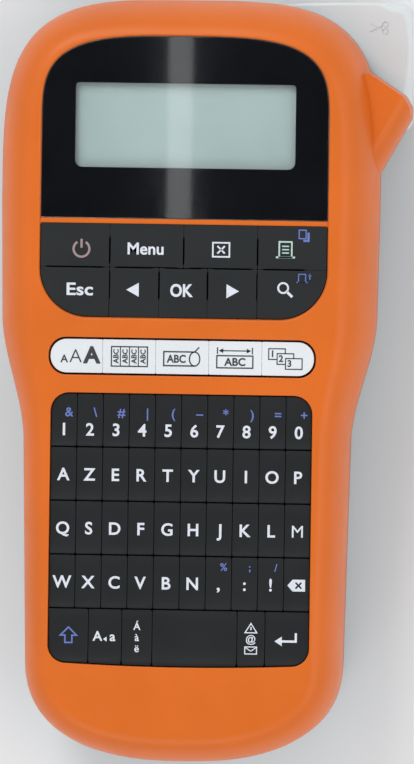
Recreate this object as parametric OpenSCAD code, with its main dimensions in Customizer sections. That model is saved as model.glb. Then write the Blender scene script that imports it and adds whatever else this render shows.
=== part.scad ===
// Handheld label maker, lying on its back.
// +Z points out of the keyboard face, +Y towards the end where the tape comes out,
// +X towards the cutter lever. The origin is on the back plane, at mid length and mid width.
// Millimetres. Distances called "from the top" are measured along -Y from the tape-exit end.

/* [Casing] */
// Overall length, tape-exit end to heel
body_l = 207; // [204:1:250]
// Width of the head
head_w = 102.8; // [101:0.2:124]
// Width of the handle
handle_w = 86; // [85:0.5:104]
// Overall depth, back to front face
body_d = 58; // [57:1:70]
// Thickness of the side walls
wall = 2.2; // [1.8:0.1:2.6]
// Thickness of the front face
face_t = 3.2; // [2.8:0.1:3.8]
// Thickness of the back, with the ledge that carries the cover
back_t = 3.8; // [3.4:0.1:4.4]
// Height of the parting line above the back
split_z = 32; // [31:0.5:34]
// Radius of the front edge round the head
head_roll = 10; // [7:0.5:11]
// Radius of the front edge round the handle
handle_roll = 7.5; // [5:0.5:8.5]
// Radius of the back edge
back_roll = 6; // [4:0.5:7]
// Height of the front edge's roll for each unit of its width
edge_rise = 2; // [1:0.1:2.2]
// How much narrower each side is at the back than at the parting line
back_taper = 2.4; // [0:0.2:2.6]

/* [Display] */
// Width of the display lens and the function pad under it
lens_w = 78; // [74:0.5:80]
// Top of the lens, from the top
lens_top = 9.8; // [9:0.1:12]
// Bottom of the lens, from the top
lens_bottom = 59.3; // [58:0.1:59.4]
// Thickness of the lens
lens_t = 1.2; // [1:0.1:1.4]
// Depth of the lens face below the front face
lens_drop = 0.5; // [0.3:0.1:0.6]
// Width of the viewing window
window_w = 59.9; // [56:0.1:62]
// Top and bottom of the viewing window, from the top
window_y = [22.6, 45.5];
// Thickness of the liquid crystal panel
lcd_t = 2.8; // [2:0.1:3.2]

/* [Keys] */
// Travel of every key
key_travel = 0.8; // [0.5:0.1:0.9]
// Groove between neighbouring keys
key_gap = 0.5; // [0.4:0.1:0.8]
// Clearance between a key and its opening
key_fit = 0.3; // [0.25:0.05:0.4]
// Depth of the key faces below the front face
key_drop = 0.5; // [0.3:0.1:0.8]
// Height of a key cap
cap_h = 4.5; // [4:0.1:5]
// Radius of a key stem
stem_r = 1.2; // [1:0.1:1.4]
// Running clearance of a stem in the rubber mat, per side
stem_fit = 0.05; // [0.03:0.01:0.1]
// Top, row split and bottom of the function pad, from the top
pad_y = [60.8, 72.6, 86.3];
// Corner radius at the bottom of the function pad
pad_r = 13; // [8:0.5:14]
// Width of the hot key strip
strip_w = 72.2; // [68:0.2:76]
// Top and bottom of the hot key strip, from the top
strip_y = [91.9, 101.6];
// Width of the main keypad
keypad_w = 71.5; // [70:0.5:76]
// Top of the main keypad, from the top
keypad_top = 106.8; // [105:0.2:108]
// Length of the main keypad at its corners
keypad_l = 72.95; // [70:0.05:74]
// Pitch of the key rows
row_pitch = 14.6; // [14:0.1:14.8]
// Columns in a full row
key_columns = 10; // [10]

/* [Tape and print unit] */
// Width, length and thickness of the tape cassette
cassette = [55, 66, 17.2];
// Right side of the cassette, which is also where the tape runs
tape_x = 17; // [16:0.5:18]
// Top of the cassette, from the top
cassette_top = 23.5; // [22:0.5:26]
// Radius of the platen roller
platen_r = 3.5; // [3:0.1:4]
// Distance of the platen roller from the top
platen_y = 41.5; // [40:0.5:43]
// Radius of the motor can
motor_r = 7.75; // [6:0.25:8]
// Length of the motor can
motor_l = 17.5; // [14:0.5:18]
// Thickness of the chassis plate
plate_t = 2; // [1.6:0.1:2.4]
// Running clearance of a shaft in its bearing, per side
shaft_fit = 0.04; // [0.02:0.01:0.08]

/* [Cutter] */
// Radius of the steel pin that the lever turns on
pin_r = 1.5; // [1.2:0.1:1.8]
// Place of the pin, right of the centre line and from the top
pin_at = [54, 31];
// Thickness of the lever, along the pin
lever_h = 18; // [15:0.5:19]
// Height of the lever above the back
lever_z = 8; // [7:0.5:9]
// Angle of a full press
lever_press = 10; // [8:1:12]
// Travel of the blade in a full press
blade_travel = 2.4; // [2:0.1:2.6]

/* [Power] */
// Radius of a battery cell
cell_r = 5.1; // [4.9:0.05:5.15]
// Length of a battery cell
cell_l = 44.5; // [43:0.5:45]
// Number of cells side by side
cells = 6; // [4:1:6]
// Heel end of the battery box, from the heel
battery_heel = 19; // [18:0.5:24]
// Radius of the power socket's barrel
jack_r = 2.8; // [2.6:0.1:3]
// Radius of the power socket's centre pin
jack_pin_r = 1; // [0.8:0.05:1.1]
// Distance of the power socket from the top
jack_y = 101.5; // [100:0.5:104]

/* [Hidden] */

eps = 0.01;
top_y = body_l / 2;
heel_y = -body_l / 2;
function ty(d) = top_y - d;

// ---------------------------------------------------------------- body outline
head_hw = head_w / 2;
shoulder_hw = head_hw - 0.5;
heel_hw = handle_w / 2;
grip_hw = heel_hw + 1.2;
head_cy = ty(54);
head_power = 3.7;
heel_power = 2.45;
heel_b = 28.5;
heel_cy = heel_y + heel_b;
waist_y = [ty(85.5), ty(120.5)];

function ease(u) = let (v = min(1, max(0, u))) v * v * (3 - 2 * v);
function mix(a, b, u) = a + (b - a) * u;
function side_hw(y) =
    y >= waist_y[0] ? mix(head_hw, shoulder_hw, (head_cy - y) / (head_cy - waist_y[0])) :
    y >= waist_y[1] ? mix(shoulder_hw, grip_hw, ease((waist_y[0] - y) / (waist_y[0] - waist_y[1]))) :
    mix(grip_hw, heel_hw, (waist_y[1] - y) / (waist_y[1] - heel_cy));

// Quarter of a superellipse, from its top point to its side point
function quarter(a, b, p, steps) = [for (i = [0 : steps]) let (t = 90 - 90 * i / steps)
    [a * pow(cos(t), 2 / p), b * pow(sin(t), 2 / p)]];

side_steps = 13;
right_side = concat(
    [for (q = quarter(head_hw, top_y - head_cy, head_power, 12)) [q[0], head_cy + q[1]]],
    [for (i = [1 : side_steps - 1]) let (y = mix(head_cy, heel_cy, i / side_steps)) [side_hw(y), y]],
    [for (i = [12 : -1 : 0]) let (q = quarter(heel_hw, heel_b, heel_power, 12)[i])
        [q[0], heel_cy - q[1]]]);
last = len(right_side) - 1;
outline = concat(right_side, [for (i = [last - 1 : -1 : 1]) [-right_side[i][0], right_side[i][1]]]);
count = len(outline);

function unit(v) = v / norm(v);
function normal(i) = let (d = outline[(i + 1) % count] - outline[(i + count - 1) % count])
    unit([-d[1], d[0]]);
normals = [for (i = [0 : count - 1]) normal(i)];
function inset(d) = [for (i = [0 : count - 1]) outline[i] - d * normals[i]];
function edge_roll(y) = mix(handle_roll, head_roll, ease((y - waist_y[1]) / (waist_y[0] - waist_y[1])));

// Rings of a casing half: t is the distance inside the outer skin, z0 the open end, z1 the face
roll_steps = 7;
function ring(d, z) = [for (p = inset(d)) [p[0], p[1], z]];
function taper(z) = back_taper * (split_z - z) / split_z;
function roll_ring(t, z1, flip, k, back) = [for (i = [0 : count - 1])
    let (r = (back ? back_roll : edge_roll(outline[i][1])) - t, a = 90 * k / roll_steps,
        z = z1 - flip * (back ? 1 : edge_rise) * r * (1 - sin(a)), d = t + r * (1 - cos(a)) + (back ? taper(z) : 0),
        p = outline[i] - d * normals[i])
    [p[0], p[1], z]];
function front_rings(t, z0, z1) = concat([ring(t, z0)],
    [for (k = [0 : roll_steps]) roll_ring(t, z1, 1, k, false)]);
function back_rings(t, z0, z1) = concat([for (k = [roll_steps : -1 : 0]) roll_ring(t, z0, -1, k, true)],
    [ring(t + taper(z1), z1)]);

// Closed solid through a stack of rings, lowest first, each clockwise seen from above
module loft(rings) {
    n = len(rings[0]);
    top = len(rings) - 1;
    polyhedron(
        points = [for (r = rings) for (p = r) p],
        faces = concat(
            [[for (i = [n - 1 : -1 : 0]) i]],
            [[for (i = [0 : n - 1]) top * n + i]],
            [for (k = [0 : top - 1]) for (i = [0 : n - 1]) let (j = (i + 1) % n)
                [k * n + j, (k + 1) * n + j, (k + 1) * n + i]],
            [for (k = [0 : top - 1]) for (i = [0 : n - 1]) let (j = (i + 1) % n)
                [k * n + j, (k + 1) * n + i, k * n + i]]),
        convexity = 8);
}

// ---------------------------------------------------------------- shapes that repeat
// Polygon with a round corner at each point [x, y, radius]
function corner(a, b, c) = let (p = [b[0], b[1]], u = unit([a[0], a[1]] - p), v = unit([c[0], c[1]] - p),
    half = acos(u * v) / 2, m = p + unit(u + v) * b[2] / sin(half),
    s = p + u * b[2] / tan(half) - m, e = p + v * b[2] / tan(half) - m,
    a0 = atan2(s[1], s[0]), turn = atan2(s[0] * e[1] - s[1] * e[0], s * e), steps = 6)
    b[2] == 0 ? [p] : [for (i = [0 : steps]) let (w = a0 + turn * i / steps)
        m + b[2] * [cos(w), sin(w)]];
function rounded(pts) = let (n = len(pts))
    [for (i = [0 : n - 1]) for (q = corner(pts[(i + n - 1) % n], pts[i], pts[(i + 1) % n])) q];
function box_points(x0, x1, y0, y1, r_low, r_high) =
    [[x0, y0, r_low], [x1, y0, r_low], [x1, y1, r_high], [x0, y1, r_high]];

module slab(points, z0, z1) {
    translate([0, 0, z0]) linear_extrude(z1 - z0) polygon(points);
}
module block(x, y, z) {
    translate([x[0], y[0], z[0]]) cube([x[1] - x[0], y[1] - y[0], z[1] - z[0]]);
}
module rod(x, y, z, r, sides = 48) {
    translate([x, y, z[0]]) cylinder(r = r, h = z[1] - z[0], $fn = sides);
}
// Toothed wheel whose short teeth stay clear of the wheel beside it
module wheel(teeth, z) {
    r = teeth * gear_module / 2;
    tip = 0.2;
    root = 0.7;
    slab([for (i = [0 : teeth - 1]) for (k = [0 : 3]) let (a = 360 * (i + [0, 0.22, 0.5, 0.72][k]) / teeth)
        (k < 2 ? r + tip / 2 : r - root) * [cos(a), sin(a)]], z[0], z[1]);
}
// Round wire wound into a spring along +Z
module coil(radius, wire, length, turns, sides = 6, steps = 12) {
    n = turns * steps;
    rings = [for (i = [0 : n]) let (a = 360 * i / steps, z = length * i / n)
        [for (k = [0 : sides - 1]) let (b = -360 * k / sides, r = radius + wire * cos(b))
            [r * cos(a), r * sin(a), z + wire * sin(b)]]];
    polyhedron(
        points = [for (r = rings) for (p = r) p],
        faces = concat(
            [[for (k = [0 : sides - 1]) k]],
            [[for (k = [sides - 1 : -1 : 0]) n * sides + k]],
            [for (i = [0 : n - 1]) for (k = [0 : sides - 1]) let (m = (k + 1) % sides)
                [i * sides + k, (i + 1) * sides + k, (i + 1) * sides + m]],
            [for (i = [0 : n - 1]) for (k = [0 : sides - 1]) let (m = (k + 1) % sides)
                [i * sides + k, (i + 1) * sides + m, i * sides + m]]),
        convexity = 10);
}

// ---------------------------------------------------------------- front of the casing
face_in = body_d - face_t;
boss_r = 3.2;
screw_r = 1.2;
boss_at = [[-(head_hw - 14.4), ty(14.5)], [6, ty(6.9)], [-(head_hw - 8), ty(91.5)],
    [head_hw - 8, ty(91.5)], [-23, heel_y + 10.9], [23, heel_y + 10.9]];

lens_hw = lens_w / 2;
lens_shoulder = ty(33.5);
lens_power = 3.5;
lens_fit = 0.15;
function lens_points(c) = let (q = quarter(lens_hw + c, ty(lens_top) - lens_shoulder + c, lens_power, 12))
    concat([[-(lens_hw + c), ty(lens_bottom) - c], [lens_hw + c, ty(lens_bottom) - c]],
        [for (i = [12 : -1 : 0]) [q[i][0], lens_shoulder + q[i][1]]],
        [for (i = [1 : 12]) [-q[i][0], lens_shoulder + q[i][1]]]);
lens_top_z = body_d - lens_drop;
lens_seat = lens_top_z - lens_t;
window_edge = 1;

function pad_points(c) = rounded(box_points(-lens_hw - c, lens_hw + c, ty(pad_y[2]) - c, ty(pad_y[0]) + c,
    pad_r + c, 1 + c));
strip_hw = strip_w / 2;
strip_r = 4.4;
function strip_points(c) = rounded(box_points(-strip_hw - c, strip_hw + c, ty(strip_y[1]) - c,
    ty(strip_y[0]) + c, strip_r + c, strip_r + c));
keypad_hw = keypad_w / 2;
keypad_sag = 1;
keypad_foot = keypad_top + keypad_l;
function keypad_points(c) = let (w = keypad_hw + c) rounded(concat(
    [[w, ty(keypad_top) + c, 5 + c], [-w, ty(keypad_top) + c, 5 + c], [-w, ty(keypad_foot) - c, 4.5 + c]],
    [for (i = [-3 : 3]) [w * i / 4, ty(keypad_foot) - c - keypad_sag * (1 - pow(i / 4, 2)), 0]],
    [[w, ty(keypad_foot) - c, 4.5 + c]]));

mat_rib_y = [(ty(pad_y[2]) + ty(strip_y[0])) / 2, (ty(strip_y[1]) + ty(keypad_top)) / 2];

fin_z = [split_z, split_z + 15];
fin_tip = pin_at[0] + 5.9;
function fin_points() = rounded([[head_hw - 3, ty(47.5), 0], [head_hw - 0.3, ty(47), 2],
    [fin_tip, ty(pin_at[1] + 0.4), 1.6], [fin_tip, ty(pin_at[1] - 2.6), 2],
    [fin_tip - 1.6, ty(pin_at[1] - 5.6), 2], [head_hw - 2.4, ty(19.2), 0], [head_hw - 3, ty(20), 0]]);

module front_fin() {
    intersection() {
        slab(fin_points(), fin_z[0], fin_z[1]);
        translate([0, ty(15), 0]) rotate([90, 0, 0]) linear_extrude(40)
            polygon([[head_hw - 6, fin_z[0]], [fin_tip + 1, fin_z[0]], [fin_tip + 1, fin_z[0] + 7],
                [head_hw + 1.6, fin_z[1] - 2], [head_hw - 1.5, fin_z[1]], [head_hw - 6, fin_z[1]]]);
    }
}

module front_shell() {
    color("darkorange")
    difference() {
        union() {
            difference() {
                union() {
                    loft(front_rings(0, split_z, body_d));
                    front_fin();
                }
                loft(front_rings(wall, split_z - 1, face_in));
            }
            intersection() {
                loft(front_rings(0, split_z, body_d));
                union() for (b = boss_at) rod(b[0], b[1], [split_z - 1, face_in + eps], boss_r);
            }
            for (y = mat_rib_y) block([-strip_hw, strip_hw], [y - 0.6, y + 0.6], [mat_z[1], face_in + eps]);
        }
        slab(lens_points(lens_fit), lens_seat, body_d + 1);
        block([-window_w / 2 - window_edge, window_w / 2 + window_edge],
            [ty(window_y[1]) - window_edge, ty(window_y[0]) + window_edge], [face_in - 1, body_d]);
        slab(pad_points(key_fit), face_in - 1, body_d + 1);
        slab(strip_points(key_fit), face_in - 1, body_d + 1);
        slab(keypad_points(key_fit), face_in - 1, body_d + 1);
        for (b = boss_at) rod(b[0], b[1], [split_z - 1, face_in - 6], screw_r);
        rod(pin_at[0], ty(pin_at[1]), [split_z - 1, split_z + 4], pin_r);
    }
}

// ---------------------------------------------------------------- back of the casing
cassette_z = 4.2;
cassette_x = [tape_x - cassette[0], tape_x];
cassette_y = [ty(cassette_top) - cassette[1], ty(cassette_top)];
reel_at = [cassette_x[0] + 18.5, cassette_y[0] + 33];
view_at = [reel_at[0] - 12, reel_at[0] + 12, reel_at[1] - 8, reel_at[1] + 8];
cover_in = 9.5;
cover_t = 2.2;
cover_fit = 0.3;
opening_in = 11.2;
lever_gap = 0.5;
eye_r = 4.5;
lever_top = lever_z + lever_h;
head_r = 2.6;
ripple_r = 6;
jack_z = 24;
jack_h = 9;
jack_face = side_hw(ty(jack_y)) - wall - taper(jack_z - jack_h / 2) - 1.6;
jack_l = 11.2;
jack_hole_r = 4.2;

module lever_window(z) {
    slab([[tape_x - 0.2, ty(10.5)], [tape_x - 0.2, top_y + 7], [head_hw + 19, top_y + 7],
        [head_hw + 19, ty(pin_at[1] + 5.3)], [head_hw - 5.4, ty(pin_at[1] + 5.3)],
        [head_hw - 9.4, ty(28)], [head_hw - 13.4, ty(14)], [head_hw - 17.4, ty(10.5)]], z[0], z[1]);
}

module rear_shell() {
    color("dimgray")
    difference() {
        union() {
            difference() {
                union() {
                    loft(back_rings(0, 0, split_z));
                    hull() {
                        slab(fin_points(), split_z - 1, split_z);
                        translate([-back_taper, 0, 0]) slab(fin_points(), 5, 6);
                    }
                }
                loft(back_rings(wall, back_t, split_z + 1));
            }
            intersection() {
                loft(back_rings(0, 0, split_z));
                union() for (b = boss_at) rod(b[0], b[1], [back_t - eps, split_z + 1], boss_r);
            }
            block([-jack_face, -(jack_face - 7)], [ty(jack_y) - 4, ty(jack_y) + 4],
                [back_t - eps, jack_z - jack_h / 2]);
        }
        slab(inset(cover_in - cover_fit), -1, cover_t + 0.2);
        slab(inset(opening_in), -1, back_t + 1);
        lever_window([lever_z - lever_gap, lever_top + lever_gap]);
        for (b = boss_at) {
            rod(b[0], b[1], [-1, split_z + 1], screw_r + 0.3);
            rod(b[0], b[1], [-1, screw_seat], head_r + 0.3);
        }
        rod(pin_at[0], ty(pin_at[1]), [4, split_z + 1], pin_r);
        translate([-head_hw - 5, ty(jack_y), jack_z]) rotate([0, 90, 0])
            cylinder(r = jack_hole_r, h = 14, $fn = 48);
        for (i = [0 : 3]) for (side = [-1, 1]) let (y = ty(113.5 + 7 * i))
            translate([side * (side_hw(y) - taper(back_roll + 2) + ripple_r - 0.9), y, back_roll + 2])
                rotate([0, side * atan(back_taper / split_z), 0])
                    rod(0, 0, [0, split_z - back_roll - 4], ripple_r);
        block([-4.5, 4.5], [heel_y - 1, heel_y + 1.4], [split_z - 11, split_z + 1]);
    }
}

screw_seat = 6;
module case_screws() {
    color("silver")
    for (b = boss_at) {
        rod(b[0], b[1], [screw_seat - 2, screw_seat], head_r);
        rod(b[0], b[1], [screw_seat - eps, split_z + 12], screw_r);
    }
}

module back_cover() {
    color("dimgray")
    difference() {
        union() {
            slab(inset(cover_in), 0, cover_t);
            block([-6, 6], [ty(14), ty(12.2)], [cover_t - eps, cover_t + 4]);
        }
        slab(rounded(box_points(view_at[0], view_at[1], view_at[2], view_at[3], 3, 3)), -1, cover_t + 1);
    }
}
module cover_window() {
    color("lightgray")
    slab(rounded(box_points(view_at[0], view_at[1], view_at[2], view_at[3], 3, 3)), 0.4, cover_t);
}

// ---------------------------------------------------------------- display
module display_lens() {
    color("black")
    slab(lens_points(0), lens_seat, lens_top_z);
}
lcd_x = window_w / 2 + 3.2;
lcd_y = [ty(window_y[1]) - 4, ty(window_y[0]) + 4];
lcd_rim = 1.6;
module lcd_panel() {
    color("lightblue")
    block([-lcd_x, lcd_x], lcd_y, [face_in - lcd_t, face_in]);
}
module lcd_frame() {
    color("gray")
    difference() {
        block([-lcd_x - lcd_rim, lcd_x + lcd_rim], [lcd_y[0] - lcd_rim, lcd_y[1] + lcd_rim],
            [face_in - lcd_t - 1.4, face_in]);
        block([-lcd_x, lcd_x], lcd_y, [face_in - lcd_t, face_in + 1]);
        block([-lcd_x + 3, lcd_x - 3], [lcd_y[0] + 3, lcd_y[1] - 3], [0, face_in]);
    }
}

// ---------------------------------------------------------------- keys, mat and board
key_top_z = body_d - key_drop;
cap_z = key_top_z - cap_h;
mat_z = [cap_z - key_travel - 2.2, cap_z - key_travel - 0.2];
board_t = 1.6;
board_z = mat_z[0] - 2.2;
mat_x = heel_hw - 4.6;
mat_y = [ty(keypad_foot) - keypad_sag - 1.9, ty(lens_bottom) + 0.8];
mat_rim = 0.9;

pad_x = [[-lens_hw, -20.1, 0, 20.1, lens_hw], [-lens_hw, -20.1, -6.6, 6.6, 20.1, lens_hw]];
function pad_cell(i) = i < 4
    ? [pad_x[0][i], pad_x[0][i + 1], ty(pad_y[1]), ty(pad_y[0])]
    : [pad_x[1][i - 4], pad_x[1][i - 3], ty(pad_y[2]), ty(pad_y[1])];
strip_pitch = strip_w / 5;
function strip_cell(i) = [-strip_hw + i * strip_pitch, -strip_hw + (i + 1) * strip_pitch,
    ty(strip_y[1]), ty(strip_y[0])];
column_pitch = keypad_w / key_columns;
function key_cell(row, column) = [
    -keypad_hw + column * column_pitch, -keypad_hw + (column + 1) * column_pitch, ty(keypad_top + (row + 1) * row_pitch), ty(keypad_top + row * row_pitch)];
bottom_x = [-keypad_hw, -24.6, -15.5, -7.2, 15.9, 23.5, keypad_hw];
function bottom_cell(i) = [bottom_x[i], bottom_x[i + 1], ty(keypad_foot) - keypad_sag,
    ty(keypad_top + 4 * row_pitch)];
function middle(c) = [(c[0] + c[1]) / 2, (c[2] + c[3]) / 2];

pad_cells = [for (i = [0 : 8]) pad_cell(i)];
strip_cells = [for (i = [0 : 4]) strip_cell(i)];
row_cells = [for (row = [0 : 3]) for (column = [0 : key_columns - 1]) key_cell(row, column)];
bottom_cells = [for (i = [0 : 5]) bottom_cell(i)];
all_cells = concat(pad_cells, strip_cells, row_cells, bottom_cells);

// One key: its cell of the pad outline, less half a groove all round, on a round stem
module key(outline_points, c) {
    m = middle(c);
    intersection() {
        slab(outline_points, cap_z, key_top_z);
        block([c[0] + key_gap / 2, c[1] - key_gap / 2], [c[2] + key_gap / 2, c[3] - key_gap / 2],
            [cap_z - 1, body_d]);
    }
    rod(m[0], m[1], [board_z + key_travel + 0.4, cap_z + eps], stem_r, 24);
}
module function_key(i) {
    color("darkslategray") key(pad_points(0), pad_cells[i]);
}
module hot_key(i) {
    color("whitesmoke") key(strip_points(0), strip_cells[i]);
}
module key_row(row, columns) {
    color("darkslategray") for (column = columns) key(keypad_points(0), key_cell(row, column));
}
module bottom_key(i) {
    color("darkslategray") key(keypad_points(0), bottom_cells[i]);
}

module key_mat() {
    color("gray")
    difference() {
        union() {
            block([-mat_x, mat_x], mat_y, mat_z);
            difference() {
                block([-mat_x, mat_x], mat_y, [board_z, mat_z[1]]);
                block([-mat_x + mat_rim, mat_x - mat_rim], [mat_y[0] + mat_rim, mat_y[1] - mat_rim],
                    [0, body_d]);
            }
        }
        for (c = all_cells) let (m = middle(c))
            rod(m[0], m[1], [mat_z[0] - 1, mat_z[1] + 1], stem_r + stem_fit, 24);
    }
}
module main_board() {
    color("darkgreen")
    union() {
        block([-mat_x, mat_x], mat_y, [board_z - board_t, board_z]);
        block([-8, 8], [mat_y[1] - 16, mat_y[1] - 2], [board_z - board_t - 1.6, board_z - board_t + eps]);
        block([-30, -20], [mat_y[1] - 14, mat_y[1] - 6], [board_z - board_t - 2.4, board_z - board_t + eps]);
    }
}

// ---------------------------------------------------------------- print unit
plate_z = [cassette_z + cassette[2] + 1.6, cassette_z + cassette[2] + 1.6 + plate_t];
gear_module = 0.5;
gear_gap = 0.5;
teeth = [12, 36, 14, 30, 20, 28];
function pitch_r(k) = teeth[k] * gear_module / 2;
low_wheel = [plate_z[1] + 0.6, plate_z[1] + 2.8];
high_wheel = [plate_z[1] + 3, plate_z[1] + 5.4];
platen_at = [tape_x + 0.6 + platen_r, ty(platen_y)];
motor_at = [platen_at[0] + 14.9, platen_at[1] - 32];
function third_point(a, b, ra, rb) = let (d = norm(b - a), u = (b - a) / d,
    s = (ra * ra - rb * rb + d * d) / (2 * d), h = sqrt(ra * ra - s * s))
    a + s * u + h * [-u[1], u[0]];
reduction_at = motor_at + (pitch_r(0) + pitch_r(1) + gear_gap) * unit([-6, 11]);
idler_at = third_point(reduction_at, platen_at, pitch_r(2) + pitch_r(3) + gear_gap,
    pitch_r(3) + pitch_r(4) + gear_gap);
ribbon_at = idler_at + (pitch_r(3) + pitch_r(5) + gear_gap) * unit([-14.24, -4.7]);
axle_r = 1;
head_y = [platen_at[1] - 7, platen_at[1] + 7];
anvil_y = [ty(19), ty(13)];
slider_x = [tape_x + 4.5, tape_x + 10.8];
slider_y = [anvil_y[0] + 0.3, anvil_y[1] - 0.3];
slider_z = [lever_z, plate_z[0] - 0.2];
guide_t = 1.2;
spring_x = tape_x + 19;
arm_y = [ty(19.5), ty(14)];
spring_y = [arm_y[0] - 12.5, arm_y[0] - 0.2];
spring_z = lever_z + 7;
leg_t = 1.2;
leg_x = opening_clear() + 0.1;
function opening_clear() = head_hw - opening_in + 0.5;

module print_chassis() {
    color("lightgray")
    difference() {
        union() {
            slab([[-leg_x - leg_t, ty(85)], [head_hw - 9.8, ty(85)], [head_hw - 9.8, ty(19)],
                [head_hw - 19, ty(10.8)], [6.2 - leg_x - leg_t, ty(10.8)], [-leg_x - leg_t, ty(17)]],
                plate_z[0], plate_z[1]);
            block([-leg_x - leg_t, -leg_x], [ty(84), ty(32)], [back_t, plate_z[1]]);
            block([leg_x, leg_x + leg_t], [motor_at[1] + motor_r + 0.6, ty(46)], [back_t, plate_z[1]]);
            block([platen_at[0] + platen_r + 0.6, platen_at[0] + platen_r + 2.6],
                [platen_at[1] - 3, platen_at[1] + 3], [4.6, plate_z[0] + eps]);
            block([platen_at[0] - 2.6, platen_at[0] + platen_r + 2.6],
                [platen_at[1] - 3, platen_at[1] + 3], [4.6, 6]);
            for (y = [slider_y[0] - 0.25 - guide_t, slider_y[1] + 0.25])
                block([slider_x[0], slider_x[1] - 2.6], [y, y + guide_t], [plate_z[0] - 6, plate_z[0] + eps]);
            block([spring_x - 4, spring_x + 4], [spring_y[0] - 1.4, spring_y[0]],
                [spring_z - 4, plate_z[0] + eps]);
        }
        rod(boss_at[0][0], boss_at[0][1], [0, body_d], boss_r + 0.4);
        rod(platen_at[0], platen_at[1], [0, body_d], axle_r + shaft_fit);
        rod(motor_at[0], motor_at[1], [0, body_d], 2);
        rod(ribbon_at[0], ribbon_at[1], [plate_z[0] - 1, body_d], axle_r + shaft_fit);
        for (p = [reduction_at, idler_at]) rod(p[0], p[1], [plate_z[0] - 1, body_d], axle_r);
    }
}
module print_head() {
    color("black")
    block([tape_x - 1.2, tape_x], head_y, [cassette_z + 1.6, plate_z[0]]);
}
module heat_sink() {
    color("silver")
    union() {
        block([tape_x - 3.2, tape_x - 1.2], head_y, [cassette_z + 1.6, plate_z[0]]);
        for (i = [0 : 3])
            block([tape_x - 5.6, tape_x - 3.2 + eps], [head_y[0] + 1 + 3.6 * i, head_y[0] + 2.2 + 3.6 * i],
                [cassette_z + 1.6, plate_z[0] - 2.4]);
    }
}
module platen_roller() {
    color("black")
    union() {
        rod(platen_at[0], platen_at[1], [6.4, plate_z[0] - 0.4], platen_r);
        rod(platen_at[0], platen_at[1], [4.6, high_wheel[1]], axle_r);
    }
}
module platen_gear() {
    color("white")
    difference() {
        translate(platen_at) wheel(teeth[4], high_wheel);
        rod(platen_at[0], platen_at[1], [0, body_d], axle_r);
    }
}
module motor() {
    color("silver")
    union() {
        rod(motor_at[0], motor_at[1], [plate_z[0] - motor_l, plate_z[0]], motor_r, 64);
        rod(motor_at[0], motor_at[1], [plate_z[0] - motor_l - 1, plate_z[0] - motor_l + eps], 3);
    }
}
module motor_pinion() {
    color("gold")
    union() {
        translate(motor_at) wheel(teeth[0], low_wheel);
        rod(motor_at[0], motor_at[1], [plate_z[0] + 0.1, low_wheel[0] + eps], axle_r);
    }
}
module reduction_gear() {
    color("white")
    difference() {
        translate(reduction_at) union() {
            wheel(teeth[1], low_wheel);
            rod(0, 0, [low_wheel[1] - eps, high_wheel[0] + eps], 2);
            wheel(teeth[2], high_wheel);
        }
        rod(reduction_at[0], reduction_at[1], [0, body_d], axle_r + shaft_fit);
    }
}
module idler_gear() {
    color("white")
    difference() {
        translate(idler_at) union() {
            wheel(teeth[3], high_wheel);
            rod(0, 0, [low_wheel[0], high_wheel[0] + eps], 2);
        }
        rod(idler_at[0], idler_at[1], [0, body_d], axle_r + shaft_fit);
    }
}
module ribbon_spindle() {
    color("white")
    union() {
        translate(ribbon_at) wheel(teeth[5], high_wheel);
        rod(ribbon_at[0], ribbon_at[1], [plate_z[0] - 1, high_wheel[0] + eps], axle_r);
        difference() {
            rod(ribbon_at[0], ribbon_at[1], [cassette_z + 3, plate_z[0] - 0.4], 2.9);
            for (i = [0 : 5]) translate([ribbon_at[0], ribbon_at[1], 0]) rotate(60 * i)
                block([2.2, 4], [-0.5, 0.5], [0, plate_z[0] - 2.5]);
        }
    }
}
module gear_axles() {
    color("silver")
    for (p = [reduction_at, idler_at]) rod(p[0], p[1], [plate_z[0], high_wheel[1] + 0.8], axle_r);
}

// ---------------------------------------------------------------- cutter
function lever_points() = rounded([[tape_x + 7.5, ty(3.1), 0], [tape_x + 7.5, ty(1.0), 0.8],
    [tape_x + 13, ty(0.4), 0], [tape_x + 22, ty(0.1), 0], [46, ty(0), 0], [51, ty(0.1), 0],
    [57.6, ty(0.6), 4], [59.2, ty(5), 3], [59.9, ty(10.5), 0], [59.9, ty(15.5), 0],
    [59.3, ty(21.3), 0], [58.4, ty(27.5), 2], [pin_at[0] + eye_r, ty(pin_at[1]), 2],
    [pin_at[0] + eye_r, ty(pin_at[1] + eye_r), 4.4], [pin_at[0] - eye_r, ty(pin_at[1] + eye_r), 4.4],
    [pin_at[0] - eye_r, ty(pin_at[1]), 1], [44, ty(23.5), 3], [44, ty(11.5), 3],
    [39.5, ty(8.5), 3], [32, ty(5.5), 2]]);
module cutter_lever() {
    color("whitesmoke")
    difference() {
        union() {
            slab(lever_points(), lever_z, lever_top);
            slab([[tape_x + 11.2, arm_y[0] + 1.5], [tape_x + 13, arm_y[0]], [47.5, arm_y[0]],
                [47.5, arm_y[1]], [tape_x + 11.2, arm_y[1]]], lever_z + 1, plate_z[0] - 0.6);
        }
        rod(pin_at[0], ty(pin_at[1]), [0, body_d], pin_r + shaft_fit);
    }
}
module lever_pin() {
    color("silver")
    rod(pin_at[0], ty(pin_at[1]), [4, split_z + 4], pin_r);
}
module lever_spring() {
    color("silver")
    translate([spring_x, spring_y[0] + 0.35, spring_z]) rotate([-90, 0, 0])
        coil(2.4, 0.3, spring_y[1] - spring_y[0] - 0.7, 6);
}
blade_t = 0.5;
blade_y = (slider_y[0] + slider_y[1]) / 2;
blade_tip = tape_x + 0.3 + blade_travel;
module blade_slider() {
    color("ivory")
    difference() {
        block(slider_x, slider_y, slider_z);
        block([0, slider_x[0] + 3], [blade_y - blade_t / 2, blade_y + blade_t / 2],
            [slider_z[0] + 0.6, slider_z[1] - 1.2]);
    }
}
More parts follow.
